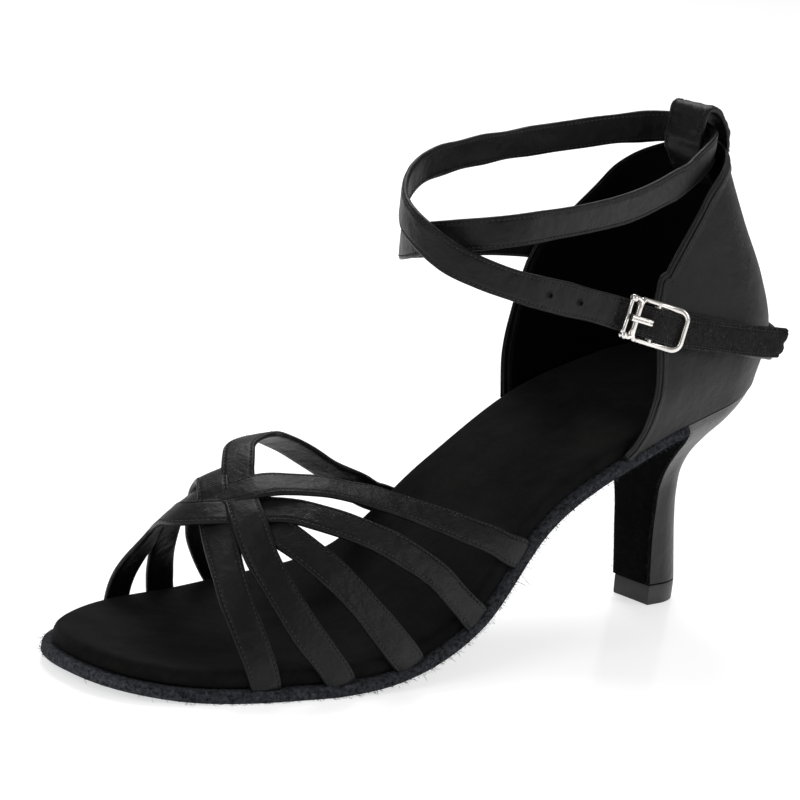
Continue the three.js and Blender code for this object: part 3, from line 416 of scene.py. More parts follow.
def sew(stitch_point, rows, faces, start, end):
    """Rows of single stitches, each a short arch that dips into the strap at its two ends."""
    for row, face in [(r, f) for r in rows for f in faces]:
        place = start
        while place + STITCH_LENGTH < end:
            along = np.linspace(place, place + STITCH_LENGTH, len(STITCH_ARCH))
            pts = [stitch_point(q, row, face, hump) for q, hump in zip(along, STITCH_ARCH)]
            stitches.add(*rod(pts, STITCH_RADIUS, sides=5))
            place += STITCH_PITCH


def ribbon(name, points, outs, width, thickness, material, seed=1, wave=0.12, rows=(1, -1),
           stitch_from=STITCH_MARGIN, step=1.4, widths=None, end_shape=None, crumple=0.0, both=False):
    """A satin strap along points on its inner face, with its stitch rows on one face or both."""
    points, outs = even(points, step, outs)
    outs = unit(calm(outs, 3))
    along, side, out = frames(points, outs)
    n = len(points)
    section = strap_section(width, thickness)
    cols = len(section)
    length = np.arange(n) * step
    across, level = section[None, :, 0], section[None, :, 1]
    upper = level > 0.3 * thickness
    lift = wave * noise_1d(n, step, 11.0, seed)
    twist = 0.10 * noise_1d(n, step, 17.0, seed + 50)
    swell = 0.12 * noise_1d(n, step, 9.0, seed + 90)
    s = across * (1 + swell[:, None] / (width / 2))
    o = level + twist[:, None] * across / (width / 2)
    if widths is not None:
        s = s * widths(np.linspace(0, 1, n))[:, None]
    o = o + (lift[:, None] * upper)
    grid = points[:, None] + side[:, None] * s[..., None] + out[:, None] * o[..., None]
    ripple = np.sin(0.9 * length[:, None] + 0.7 * across + 1.6 * np.sin(0.37 * length)[:, None])
    ripple = ripple * np.cos(0.55 * length[:, None] - 0.9 * across)
    grid = grid + out[:, None] * (crumple * ripple * upper)[..., None]
    if end_shape is not None:
        ahead, raised = end_shape(length[-1] - length[:, None], across / (width / 2))
        grid = grid + along[:, None] * ahead[..., None] + out[:, None] * raised[..., None]
    faces = quads(n, cols, wrap_cols=True).tolist()
    faces += [list(range(cols))[::-1], [(n - 1) * cols + k for k in range(cols)]]
    uv = np.vstack([weave_places(length, section), np.zeros((2 * cols, 2))])
    obj = add_mesh(name, grid.reshape(-1, 3), faces, material, uv=uv)

    def stitch_point(q, row, face, hump):
        i = min(n - 2, int(q / step))
        f = q / step - i
        share = row * (1 - STITCH_INSET * 2 / width)
        rise = thickness - STITCH_SINK + hump + lift[i] + twist[i] * share
        aside = row * (width / 2 - STITCH_INSET)
        if widths is not None:
            aside *= float(widths(q / length[-1]))
        forth = 0.0
        if end_shape is not None:
            forth, raised = end_shape(length[-1] - q, share)
            rise += raised
        if face == -1:
            rise -= thickness - INNER_STITCH_SINK + 2 * hump
        base = points[i] * (1 - f) + points[i + 1] * f
        return base + side[i] * aside + out[i] * rise + along[i] * forth

    sew(stitch_point, rows, (1, -1) if both else (1,), stitch_from, length[-1] - STITCH_MARGIN)
    return obj, points, along, side, out


def oval_rings(levels, start, end, steps, square_back=False):
    """Closed rings of the sole: each level is (inset, height); the points run up one side and back."""
    rings = []
    for inset, height in levels:
        b = max(start, inset / SOLE_LENGTH + 0.0002) if not square_back else start + inset / SOLE_LENGTH
        e = min(end, 1 - inset / SOLE_LENGTH - 0.0002)
        t = np.linspace(0, 1, steps)
        u = b + (e - b) * (0.5 - 0.5 * np.cos(np.pi * t))
        half = half_width(u, inset)
        c = sole_centre(u)
        one = over_sole(u, c + half, height)
        two = over_sole(u, c - half, height)[::-1]
        rings.append(np.vstack([one, two]))
    return np.array(rings)


def ring_stack(name, rings, material, sharp=None):
    """A body of nested rings, closed at both ends by a strip of quads across the last ring."""
    rows, cols = rings.shape[:2]
    faces = quads(rows, cols, wrap_cols=True).tolist()
    half = cols // 2
    for k, flip in ((0, True), (rows - 1, False)):
        for i in range(half - 1):
            j = cols - 1 - i
            f = [k * cols + i, k * cols + i + 1, k * cols + j - 1, k * cols + j]
            faces.append(f if not flip else f[::-1])
    obj = add_mesh(name, rings.reshape(-1, 3), faces, material, sharp=sharp)
    mesh = obj.data
    bm = bmesh.new()
    bm.from_mesh(mesh)
    bmesh.ops.remove_doubles(bm, verts=bm.verts, dist=1e-6)
    bmesh.ops.recalc_face_normals(bm, faces=bm.faces)
    bm.to_mesh(mesh)
    bm.free()
    return obj


# Camera, worked out from the photograph

AZIMUTH, ELEVATION, ROLL = math.radians(136.64), math.radians(12.92), math.radians(6.24)
DISTANCE, FOCAL_PX, IMAGE_PX = 961.8, 3619.6, 800.0
AIM = np.array([129.72 + X_SHIFT, 0.0, 66.75])
back = np.array([math.sin(AZIMUTH) * math.cos(ELEVATION), -math.cos(AZIMUTH) * math.cos(ELEVATION),
                 math.sin(ELEVATION)])
right = unit(np.cross(-back, [0, 0, 1]))
up = np.cross(right, -back)
cam_x = right * math.cos(ROLL) + up * math.sin(ROLL)
cam_y = -right * math.sin(ROLL) + up * math.cos(ROLL)
camera = bpy.data.objects.new("camera", bpy.data.cameras.new("camera"))
camera.data.sensor_width = 36.0
camera.data.lens = FOCAL_PX / IMAGE_PX * 36.0
camera.data.clip_end = 50.0
place = (AIM + back * DISTANCE) * MM
camera.matrix_world = Matrix([
    [cam_x[0], cam_y[0], back[0], place[0]], [cam_x[1], cam_y[1], back[1], place[1]],
    [cam_x[2], cam_y[2], back[2], place[2]], [0, 0, 0, 1]])
bpy.context.scene.collection.objects.link(camera)
bpy.context.scene.camera = camera


# Materials

def new_material(name, colour, rough, metal=0.0, sheen=0.0, sheen_rough=0.5, coat=0.0, coat_rough=0.2,
                 specular=0.5, sheen_tint=(1, 1, 1)):
    m = bpy.data.materials.new(name)
    m.use_nodes = True
    s = m.node_tree.nodes["Principled BSDF"].inputs
    s["Base Color"].default_value = (*colour, 1)
    s["Roughness"].default_value = rough
    s["Metallic"].default_value = metal
    s["Sheen Weight"].default_value = sheen
    s["Sheen Roughness"].default_value = sheen_rough
    s["Sheen Tint"].default_value = (*sheen_tint, 1)
    s["Coat Weight"].default_value = coat
    s["Coat Roughness"].default_value = coat_rough
    s["Specular IOR Level"].default_value = specular
    return m


def node(m, kind, **values):
    n = m.node_tree.nodes.new(kind)
    for k, v in values.items():
        if k in n.inputs:
            n.inputs[k].default_value = v
        else:
            setattr(n, k, v)
    return n


def link(m, a, out, b, inp):
    m.node_tree.links.new(a.outputs[out], b.inputs[inp])


def shader(m):
    return m.node_tree.nodes["Principled BSDF"]


def object_place(m, scale=(1, 1, 1), turn=(0, 0, 0)):
    tc = node(m, "ShaderNodeTexCoord")
    mp = node(m, "ShaderNodeMapping")
    mp.inputs["Scale"].default_value = scale
    mp.inputs["Rotation"].default_value = turn
    link(m, tc, "Object", mp, "Vector")
    return mp


def mottle(m, place, scale, low, high, detail=6.0, rough=0.6, at=(0.35, 0.68)):
    """The base colour wanders between two tones."""
    n = node(m, "ShaderNodeTexNoise", Scale=scale, Detail=detail, Roughness=rough)
    link(m, place, "Vector", n, "Vector")
    r = node(m, "ShaderNodeValToRGB")
    r.color_ramp.elements[0].position, r.color_ramp.elements[1].position = at
    r.color_ramp.elements[0].color = (*low, 1)
    r.color_ramp.elements[1].color = (*high, 1)
    link(m, n, "Fac", r, "Fac")
    link(m, r, "Color", shader(m), "Base Color")
    return n


def vary_roughness(m, source, low, high):
    r = node(m, "ShaderNodeMapRange")
    r.inputs["To Min"].default_value = low
    r.inputs["To Max"].default_value = high
    link(m, source, "Fac", r, "Value")
    link(m, r, "Result", shader(m), "Roughness")


def bumps(m, sources):
    """Chains bumps: each source is (node, output, strength, distance)."""
    last = None
    for n, out, strength, distance in sources:
        b = node(m, "ShaderNodeBump", Strength=strength, Distance=distance)
        link(m, n, out, b, "Height")
        if last is not None:
            link(m, last, "Normal", b, "Normal")
        last = b
    link(m, last, "Normal", shader(m), "Normal")


def satin(name, low, high, rough, twill=0.5, specular=0.5, cloud=0.6, crease=0.5, uv=True):
    """Black satin: a fine slanting weave under cloudy gloss, with small creases and specks."""
    m = new_material(name, low, rough, specular=specular)
    place = object_place(m)
    mottle(m, place, 300.0, low, high, at=(0.4, 0.7))
    clouds = node(m, "ShaderNodeTexNoise", Scale=95.0, Detail=7.0, Roughness=0.62)
    link(m, place, "Vector", clouds, "Vector")
    vary_roughness(m, clouds, rough - 0.16 * cloud, rough + 0.2 * cloud)
    wave = node(m, "ShaderNodeTexWave", wave_type="BANDS", bands_direction="DIAGONAL")
    wave.inputs["Scale"].default_value = 0.8 if uv else 620.0
    wave.inputs["Distortion"].default_value = 0.7
    wave.inputs["Detail"].default_value = 2.0
    if uv:
        u = node(m, "ShaderNodeUVMap", uv_map="weave")
        flip = node(m, "ShaderNodeMapping")
        flip.inputs["Scale"].default_value = (1, -1, 1)
        link(m, u, "UV", flip, "Vector")
        link(m, flip, "Vector", wave, "Vector")
    else:
        link(m, place, "Vector", wave, "Vector")
    grain = node(m, "ShaderNodeTexNoise", Scale=1700.0, Detail=4.0, Roughness=0.75)
    link(m, place, "Vector", grain, "Vector")
    soft = node(m, "ShaderNodeTexNoise", Scale=120.0, Detail=3.0, Roughness=0.55)
    link(m, place, "Vector", soft, "Vector")
    bumps(m, [(soft, "Fac", crease, 0.0022), (wave, "Fac", twill, 0.00018), (grain, "Fac", 0.45, 0.00025)])
    return m


def nap(name, low, high, rough, scale, strength, distance, sheen, tint=(1, 1, 1), patch=38.0):
    """Napped suede: clouds of brushed pile and a fine rough grain."""
    m = new_material(name, low, rough, sheen=sheen, sheen_rough=0.6, specular=0.05, sheen_tint=tint)
    place = object_place(m)
    mottle(m, place, patch, low, high, detail=8.0, rough=0.72)
    g1 = node(m, "ShaderNodeTexNoise", Scale=scale, Detail=8.0, Roughness=0.8)
    link(m, place, "Vector", g1, "Vector")
    g2 = node(m, "ShaderNodeTexNoise", Scale=scale * 0.22, Detail=4.0, Roughness=0.6)
    link(m, place, "Vector", g2, "Vector")
    bumps(m, [(g2, "Fac", strength * 0.6, distance * 2.5), (g1, "Fac", strength, distance)])
    return m


def fine_grain(m, scale, detail, strength, distance, roughness=None, rough=0.5):
    """A fine bump, and a roughness that wanders with it where a range is given."""
    grain = node(m, "ShaderNodeTexNoise", Scale=scale, Detail=detail, Roughness=rough)
    link(m, object_place(m), "Vector", grain, "Vector")
    if roughness is not None:
        vary_roughness(m, grain, *roughness)
    bumps(m, [(grain, "Fac", strength, distance)])


SATIN = satin("satin_straps", (0.0026, 0.0026, 0.0028), (0.0052, 0.0052, 0.0056), 0.42, twill=0.16,
              specular=0.24)
SATIN_WALL = satin("satin_counter", (0.0026, 0.0026, 0.003), (0.0044, 0.0044, 0.005), 0.48, twill=0.08,
                   specular=0.24, cloud=0.35, crease=0.3, uv=False)
SATIN_HEEL = satin("satin_heel", (0.0022, 0.0022, 0.0026), (0.0036, 0.0036, 0.004), 0.36, twill=0.06,
                   specular=0.22, cloud=0.3, crease=0.2, uv=False)
FELT = nap("felt_strap", (0.003, 0.003, 0.003), (0.021, 0.021, 0.0204), 0.8, 1500.0, 0.8, 0.0002, 0.03,
           patch=700.0)
BED = nap("footbed_nap", (0.0022, 0.0022, 0.0022), (0.0125, 0.0125, 0.0121), 0.9, 1300.0, 0.5, 0.00022,
          0.02)
# The sole's suede with its grey-blue specks, partly its own tone and partly painted light: kept lighter
# than the flap's copy for its top-lit cut edge.
LIT_SOLE_SUEDE = nap("sole_suede_lit", (0.001, 0.0011, 0.0015), (0.085, 0.088, 0.102), 0.95, 900.0, 1.0, 0.0005, 0.03,
            tint=(0.85, 0.9, 1.0), patch=850.0)
# The flap's suede is a much darker copy of the sole's suede, without sheen, as painted shade for the heel's
# front face.
SHADED_FLAP_SUEDE = nap("flap_suede_painted_shade", (0.0008, 0.0008, 0.001), (0.0032, 0.0033, 0.004), 0.95, 900.0, 1.0, 0.0005, 0.0,
           patch=420.0)
FUZZ = new_material("suede_fuzz", (0.012, 0.0125, 0.015), 0.9, specular=0.06)
LINT = new_material("lint", (0.1, 0.098, 0.094), 0.9, specular=0.1)
# The counter's black lining, darkened below its own tone as painted shade inside the counter; the same
# near-black fills the strap's holes as painted shade.
LINING_AND_SHADE = nap("lining_and_shade", (0.0012, 0.0012, 0.0012), (0.003, 0.003, 0.003), 0.93, 1300.0, 0.4, 0.0002, 0.0)
CORD = satin("satin_cords", (0.004, 0.004, 0.0043), (0.008, 0.008, 0.0086), 0.34, twill=0.1,
             specular=0.4, cloud=0.5, crease=0.2, uv=False)
THREAD = new_material("thread", (0.007, 0.007, 0.0076), 0.36, specular=0.6)
PLASTIC = new_material("tip_plastic", (0.006, 0.006, 0.0065), 0.35, specular=0.4)
NICKEL = new_material("nickel", (0.74, 0.71, 0.68), 0.16, metal=1.0)
fine_grain(NICKEL, 420.0, 5.0, 0.08, 0.0002, roughness=(0.08, 0.3), rough=0.65)
fine_grain(PLASTIC, 900.0, 4.0, 0.15, 0.0002, roughness=(0.34, 0.55))
fine_grain(THREAD, 2600.0, 2.0, 0.4, 0.0001, roughness=(0.4, 0.75))
mottle(FUZZ, object_place(FUZZ), 900.0, (0.006, 0.0065, 0.008), (0.09, 0.094, 0.108))
fine_grain(FUZZ, 2400.0, 2.0, 0.3, 0.0001)
mottle(LINT, object_place(LINT), 900.0, (0.03, 0.029, 0.028), (0.16, 0.157, 0.15))
fine_grain(LINT, 2400.0, 2.0, 0.3, 0.0001)

stitches = Soup()

# Outsole with its flap

BREAST = BREAST_FROM_BACK / SOLE_LENGTH


def heel_curves():
    tip_w, tip_d = TIP_WIDTH / SEAT_WIDTH, TIP_DEPTH / BREAST_FROM_BACK
    reach = BREAST_FROM_BACK - TIP_FRONT_FROM_BACK
    return (through(HEEL[:, 0], tip_w + (1 - tip_w) * HEEL[:, 1]),
            through(HEEL[:, 0], tip_d + (1 - tip_d) * HEEL[:, 2]),
            through(HEEL[:, 0], TIP_FRONT_FROM_BACK + reach * HEEL[:, 3]))


heel_flare, heel_deep, heel_front = heel_curves()


def heel_ring(down, steps=40):
    """The heel's section at a share of the way down, from its outer front corner round to the inner one."""
    ring = []
    inset = HEEL_INSET * (1 - down)
    for side in (1, -1):
        t = np.linspace(0, 1, steps + 1)
        b = inset / SOLE_LENGTH + 0.0004
        u = BREAST + (b - BREAST) * np.sin(np.pi / 2 * t)
        rim = over_sole(u, 0.0, OUTSOLE_THICKNESS - CLEARANCE)
        y = sole_centre(u) * (1 - down) + side * half_width(u, inset) * heel_flare(down)
        x = heel_front(down) - (BREAST_FROM_BACK - u * SOLE_LENGTH) * heel_deep(down)
        z = rim[:, 2] + (TIP_HEIGHT + CLEARANCE - rim[:, 2]) * down
        half = np.stack([x - (u * SOLE_LENGTH - rim[:, 0]) * (1 - down), y, z], -1)
        ring.append(half if side == 1 else half[::-1])
    return np.vstack(ring)


def outsole():
    """The suede sheet with its soft cut edge, and the flap down the heel's flat front, in a lighter and a
    darker copy of one suede: painted light and painted shade.
    """
    start = BREAST + CLEARANCE / SOLE_LENGTH
    t = OUTSOLE_THICKNESS
    levels = [(22, 0), (14, 0), (7, 0), (3, 0), (1, 0), (0.4, 0.05), (0.08, 0.35), (0, 0.9), (0, 1.7),
              (0, 2.4), (0.15, 2.95), (0.5, t), (1.2, t), (2.4, t), (4.5, t), (10, t), (22, t)]
    rings = oval_rings(levels, start, 1.0, 150, square_back=True)
    # The sheet takes the lighter copy of the suede, partly painted light.
    sheet = ring_stack("outsole_sheet", rings, LIT_SOLE_SUEDE)
    rows, cols = 44, 17
    front = np.zeros((rows, cols, 3))
    rear = np.zeros((rows, cols, 3))
    for k in range(rows):
        down = (k / (rows - 1)) ** 1.3
        ring = heel_ring(down, 4)
        left, rgt = ring[0], ring[-1]
        for j in range(cols):
            s = j / (cols - 1)
            p = left * (1 - s) + rgt * s
            rear[k, j] = p + [CLEARANCE, 0, 0]
            front[k, j] = p + [CLEARANCE + FLAP_THICKNESS - 0.5 * abs(2 * s - 1) ** 6, 0, 0]
    front[0] += [0.4, 0, 1.0]
    rear[0] += [0, 0, 1.0]
    n = rows * cols
    verts = np.vstack([front.reshape(-1, 3), rear.reshape(-1, 3)])
    faces = quads(rows, cols).tolist() + [f[::-1] for f in quads(rows, cols, offset=n).tolist()]
    for k in range(rows - 1):
        a, b = k * cols, (k + 1) * cols
        faces.append([a, b, b + n, a + n])
        faces.append([b + cols - 1, a + cols - 1, a + cols - 1 + n, b + cols - 1 + n])
    for j in range(cols - 1):
        faces.append([j + 1, j, j + n, j + 1 + n])
        a = (rows - 1) * cols + j
        faces.append([a, a + 1, a + 1 + n, a + n])
    # The flap takes the dark copy of the suede: painted shade.
    flap = add_mesh("outsole_flap", verts, faces, SHADED_FLAP_SUEDE, sharp=50)
    dress(sheet, "suede", "outsole")
    dress(flap, "suede", "outsole")


outsole()


# Footbed

def footbed():
    """The padded insole with its rolled edge."""
    base = OUTSOLE_THICKNESS + CLEARANCE
    e = EDGE_INSET
    top = FOOTBED_THICKNESS
    levels = [(22, 0), (12, 0), (e + 1.2, 0), (e + 0.25, 0.12), (e - 0.05, 0.7), (e - 0.1, 0.4 * top),
              (e, 0.6 * top), (e + 0.3, 0.8 * top), (e + 0.8, 0.92 * top), (e + 1.6, 0.98 * top),
              (e + 3, top), (e + 5, top + 0.05), (e + 8, top + 0.05), (e + 12, top), (e + 15, top),
              (22, top)]
    rings = oval_rings([(i, base + h) for i, h in levels], 0.0, 1.0, 170)
    bed = ring_stack("footbed_pad", rings, BED)
    dress(bed, "microsuede", "footbed")


footbed()


# Heel and tip

def heel():
    """The covered heel and the plastic tip under it."""
    rings = np.array([heel_ring((k / 70) ** 1.25) for k in range(71)])
    body = ring_stack("heel_cover", rings[::-1], SATIN_HEEL, sharp=48)
    dress(body, "satin", "heel_block")
    base = heel_ring(1.0)
    centre = base.mean(0)
    levels = [(0.955, 0.0), (0.985, 0.12), (1.0, 0.5), (1.008, 3.0), (1.012, 5.45), (1.0, 5.85),
              (0.96, TIP_HEIGHT)]
    tip = []
    for scale, z in levels:
        ring = centre + (base - centre) * scale
        ring[:, 2] = z
        tip.append(ring)
    lift = ring_stack("heel_tip_block", np.array(tip), PLASTIC, sharp=40)
    dress(lift, "plastic", "heel_tip")


heel()


# Counter with its binding

def counter_point(u, side, height, depth):
    u = np.asarray(u, float)
    base = over_sole(u, 0.0, OUTSOLE_THICKNESS + CLEARANCE)
    fade = np.maximum(0, 1 - u / COUNTER_LEAN_REACH)
    x = base[..., 0] + wall_shift(height) * fade
    y = sole_centre(u) + side * half_width(u, depth) * wall_width(height)
    return np.stack([x, y, base[..., 2] + height], -1)


column_place = through([0, 0.04, 0.12, 0.35, 0.62, 0.78, 0.92, 1],
                       [0, 0.0015, 0.012, 0.13, 0.62, 0.87, 0.91, 1])


def counter():
    """The hollow counter: outer wall, rounded top edge and inner wall, whose faces take the lining,
    darkened as painted shade.
    """
    columns, levels = 110, 40
    front = TOP[-1, 0]
    rows = []
    wall_share = COUNTER_WALL / SOLE_LENGTH
    for side in (1, -1):
        for i in range(columns + 1):
            if side == -1 and i == 0:
                continue
            t = i / columns
            along = 1 - t if side == 1 else t
            u = float(front * column_place(along))
            outside = float(wing_place(u, side))
            inside = wall_share + outside * (1 - wall_share / float(wing_place(front, side)))
            top = float(counter_top(u))
            h = top * (np.linspace(0, 1, levels) ** 0.9)
            outer = counter_point(np.full(levels, outside), side, h, 0.0)
            inner = counter_point(np.full(levels, inside), side, h, COUNTER_WALL)
            rise = unit(outer[-1] - outer[-2])
            arch = [outer[-1] * (0.5 + 0.5 * math.cos(a)) + inner[-1] * (0.5 - 0.5 * math.cos(a))
                    + rise * 0.75 * math.sin(a) for a in np.radians([30, 60, 90, 120, 150])]
            rows.append(np.vstack([outer, arch, inner[::-1]]))
    grid = np.array(rows)
    r, c = grid.shape[:2]
    faces = quads(r, c, wrap_cols=True).tolist()
    faces += [list(range(c))[::-1], [(r - 1) * c + k for k in range(c)]]
    # The inner faces take the near-black lining: partly its own tone, partly painted shade.
    lining_and_shade_from = levels + 2
    obj = add_mesh("counter_wall", grid.reshape(-1, 3), faces, SATIN_WALL, sharp=60)
    obj.data.materials.append(LINING_AND_SHADE)
    index = [0] * len(faces)
    for f in range((r - 1) * c):
        if f % c >= lining_and_shade_from:
            index[f] = 1
    obj.data.polygons.foreach_set("material_index", index)
    dress(obj, "satin", "heel_counter")


counter()


BINDING_WIDTH = 4.2
BINDING_THICKNESS = 0.5
BINDING_SINK = 0.1
CORD_INSETS = (0.35, 1.55)
CORD_RADIUS = 0.36
CORD_SINK = 0.05


def counter_edge(side, inset, count=240):
    """A line on the counter's outer wall at a steady distance from its top edge, and how it faces."""
    front = TOP[-1, 0]
    u = np.maximum(0.0012, front * column_place(np.linspace(0.0, 1.0, count)))
    height = counter_top(u)

    def wall(a, b):
        return counter_point(wing_place(a, side), side, b, 0.0)

    du, dh = 0.0004, 0.05
    points = wall(u, height)
    by_u = (wall(u + du, height) - wall(u - du, height)) / (2 * du)
    by_h = (wall(u, height + dh) - wall(u, height - dh)) / (2 * dh)
    out = unit(np.cross(by_h, by_u)) * side
    inward = unit(np.cross(out, np.gradient(points, axis=0)))
    inward *= -np.sign(inward[0, 2])
    uu, uh, hh = (by_u * by_u).sum(1), (by_u * by_h).sum(1), (by_h * by_h).sum(1)
    pu, ph = (inward * by_u).sum(1) * inset, (inward * by_h).sum(1) * inset
    det = uu * hh - uh * uh
    step_u = (hh * pu - uh * ph) / det
    step_h = (uu * ph - uh * pu) / det
    return wall(u + step_u, np.maximum(0.0, height + step_h)), out


def binding():
    """The folded strip along the counter's top edge, sewn once, with its two cords."""
    inner, inner_out = counter_edge(-1, BINDING_WIDTH / 2 - 0.2)
    outer, outer_out = counter_edge(1, BINDING_WIDTH / 2 - 0.2)
    points = np.vstack([inner[::-1], outer[1:]])
    outs = np.vstack([inner_out[::-1], outer_out[1:]])
    obj, *_ = ribbon("counter_binding", points - outs * BINDING_SINK, outs, BINDING_WIDTH,
                     BINDING_THICKNESS, SATIN, seed=71, wave=0.03, rows=(1,), step=1.2)
    dress(obj, "satin")
    cords = Soup()
    for inset in CORD_INSETS:
        inner, inner_out = counter_edge(-1, inset)
        outer, outer_out = counter_edge(1, inset)
        line = np.vstack([inner[::-1], outer[1:]])
        outs = np.vstack([inner_out[::-1], outer_out[1:]])
        line = even(line + outs * (BINDING_THICKNESS - CORD_SINK), 0.9)
        cords.add(*rod(line, CORD_RADIUS, sides=8, taper=0.9))
    dress(cords.build("counter_cords", CORD), "satin")


binding()


# Vamp

def crown_point(u, across):
    angle = np.pi / 2 * across
    seat = over_sole(u, 0.0, OUTSOLE_THICKNESS + CLEARANCE)
    high = crown_height(u) - seat[..., 2]
    y = sole_centre(u) + half_width(u, SEAT_INSET) * np.sin(angle)
    return np.stack([seat[..., 0], y, seat[..., 2] + high * np.cos(angle)], -1)


def on_crown(u, across, lift):
    step = 0.001
    forward = crown_point(u + step, across) - crown_point(u - step, across)
    outward = crown_point(u, np.minimum(1, across + step)) - crown_point(u, np.maximum(-1, across - step))
    out = unit(np.cross(forward, outward))
    return crown_point(u, across) + out * lift[..., None], out


def vamp():
    """The five braided straps, whose two ends go a little way into the footbed's edge."""
    for k, (name, rows) in enumerate(VAMP.items()):
        rows = np.array(rows, float)
        n = len(rows)
        t = np.linspace(0, n - 1, 160)
        at = through(np.arange(n), rows[:, 0])(t)
        across = through(np.arange(n), rows[:, 1])(t)
        lift = through(np.arange(n), rows[:, 2] * VAMP_STRAP_THICKNESS)(t)
        points, outs = on_crown(at, across, lift)
        for end in (0, -1):
            if abs(rows[end, 1]) == 1:
                below = points[end] - [0, 0, FOOT_DEPTH]
                points = np.vstack([below, points] if end == 0 else [points, below])
                outs = np.vstack([outs[0], outs] if end == 0 else [outs, outs[-1]])
        obj, *_ = ribbon("vamp_" + name, points, outs, VAMP_STRAP_WIDTH, VAMP_STRAP_THICKNESS, SATIN,
                         seed=10 + k, stitch_from=1.0)
        dress(obj, "satin", "vamp_straps")


vamp()


# Ankle strap, loop and buckle

counter_back = counter_point(0.0, 1, COUNTER_HEIGHT, 0.0)
counter_seat = counter_point(0.0, 1, 0.0, 0.0)
loop_centre = np.array([counter_back[0] + LOOP_MIDDLE[0] * LOOP_REACH, float(sole_centre(0.0)),
                        counter_back[2] + LOOP_MIDDLE[1] * LOOP_REACH])


def ring_place(row):
    return np.array([loop_centre[0] + row[0] * ANKLE_LENGTH, row[1] * ANKLE_WIDTH / 2,
                     counter_seat[2] + row[2] * ANKLE_RISE])


tilt = math.radians(BUCKLE_TILT)
ALONG = np.array([math.cos(tilt), 0, math.sin(tilt)])
ACROSS = np.array([-math.sin(tilt), 0, math.cos(tilt)])
OUT = np.array([0, 1.0, 0])
UPRIGHT = np.array([0, 0, 1.0])
ply_gap = ANKLE_STRAP_THICKNESS / 2 + CLEARANCE + BUCKLE_BAR / 2
centre_bar = ring_place(BUCKLE_PLACE) - OUT * ply_gap
end_bar = (BUCKLE_LENGTH - BUCKLE_BAR) / 2
bow = 2 * ply_gap - TAIL_DIP + 0.1


def on_buckle(along, across, out):
    return centre_bar + ALONG * along + ACROSS * across + OUT * out


FOLD_SLACK = 0.35
FELT_LENGTH = 72
CRUMPLED_LENGTH = 7.0
HOLES_FROM_BUCKLE = (28.0, 38.0)
HOLE_RADIUS = 0.8
HOLE_SIDES = 18
RIM_RADIUS = 0.2
# How far the dark disc of painted shade in each hole sinks into the strap.
HOLE_SHADE_DEPTH = 0.3
LINT_COUNT = 260
LOOP_ROOT = 9.0
PRONG_WIRE = 0.9
PRONG_SPREAD = 0.42


def cut_end(left, s):
    """The crumpled, cut end of the tail: two lobes with a notch between them."""
    ramp = np.clip(1 - left / CRUMPLED_LENGTH, 0, 1) ** 2
    ahead = ramp * (0.5 * np.cos(2.6 * s) - 1.3 * np.exp(-((s - 0.1) / 0.2) ** 2) + 0.25 * np.sin(9 * s))
    raised = ramp * (0.7 * np.sin(2.4 * s + 0.5) - 0.6 * np.exp(-((s - 0.1) / 0.3) ** 2))
    return ahead, raised


def ankle_strap():
    """The strap from its fold round the centre bar, past the counter and the loop, to its cut tail."""
    under = ply_gap + FOLD_SLACK
    places = [
        (on_buckle(under, 0, 0.2), ACROSS), (on_buckle(under * 0.72, 0, -under * 0.72), ACROSS),
        (on_buckle(0, 0, -under), ACROSS), (on_buckle(-0.35 * end_bar, 0, -under - 0.15), ACROSS)]
    for at, side, up_share, off in AROUND:
        drop = float(counter_point(at, 1, 0.0, 0.0)[2] - counter_seat[2])
        height = up_share * COUNTER_HEIGHT - drop
        stand = CLEARANCE + ANKLE_STRAP_THICKNESS / 2 + off
        trio = []
        for h in (height, height + ANKLE_STRAP_WIDTH / 2, height - ANKLE_STRAP_WIDTH / 2):
            p = counter_point(at, side, h, -stand)
            if at < HEEL_ROUND_UNTIL:
                p[0] -= stand * (1 - at / HEEL_ROUND_UNTIL)
            trio.append(p)
        places.append((trio[0], unit(trio[1] - trio[2])))
    places += [(ring_place(row), UPRIGHT) for row in FREE]
    places += [(on_buckle(e * end_bar, 0, ply_gap - TAIL_DIP * e * e), ACROSS) for e in (1, 0, -1)]
    places += [(ring_place(row), UPRIGHT) for row in TAIL]
    line = catmull([p for p, _ in places])
    ups = np.array([u for _, u in places])
    steps = np.linspace(0, len(places) - 1, len(line))
    ups = np.stack([np.interp(steps, np.arange(len(places)), ups[:, k]) for k in range(3)], -1)
    line, ups = even(line, 1.2, ups)
    out = unit(np.cross(unit(np.gradient(line, axis=0)), ups))
    inner = line - out * ANKLE_STRAP_THICKNESS / 2
    obj, *lie = ribbon("ankle_strap_band", inner, out, ANKLE_STRAP_WIDTH, ANKLE_STRAP_THICKNESS, SATIN,
                       seed=31, wave=0.08, step=1.0, end_shape=cut_end, crumple=0.05,
                       both=True)
    obj.data.materials.append(FELT)
    cols = len(strap_section(ANKLE_STRAP_WIDTH, ANKLE_STRAP_THICKNESS))
    felt_from = len(lie[0]) - FELT_LENGTH
    index = [1 if f // cols >= felt_from else 0 for f in range(len(obj.data.polygons))]
    obj.data.polygons.foreach_set("material_index", index)
    dress(obj, "satin", "ankle_strap")
    return lie


ankle_lie = ankle_strap()


def loop_root(left, s):
    """The loop's outer leg hugs the counter's round back and is puckered where it is sewn in."""
    ramp = np.clip(1 - left / LOOP_ROOT, 0, 1)
    pucker = 0.16 * np.sin(7 * s + 0.6) + 0.1 * np.sin(13 * s)
    raised = -1.7 * ramp * s * s + ramp * pucker
    return np.zeros_like(raised), raised


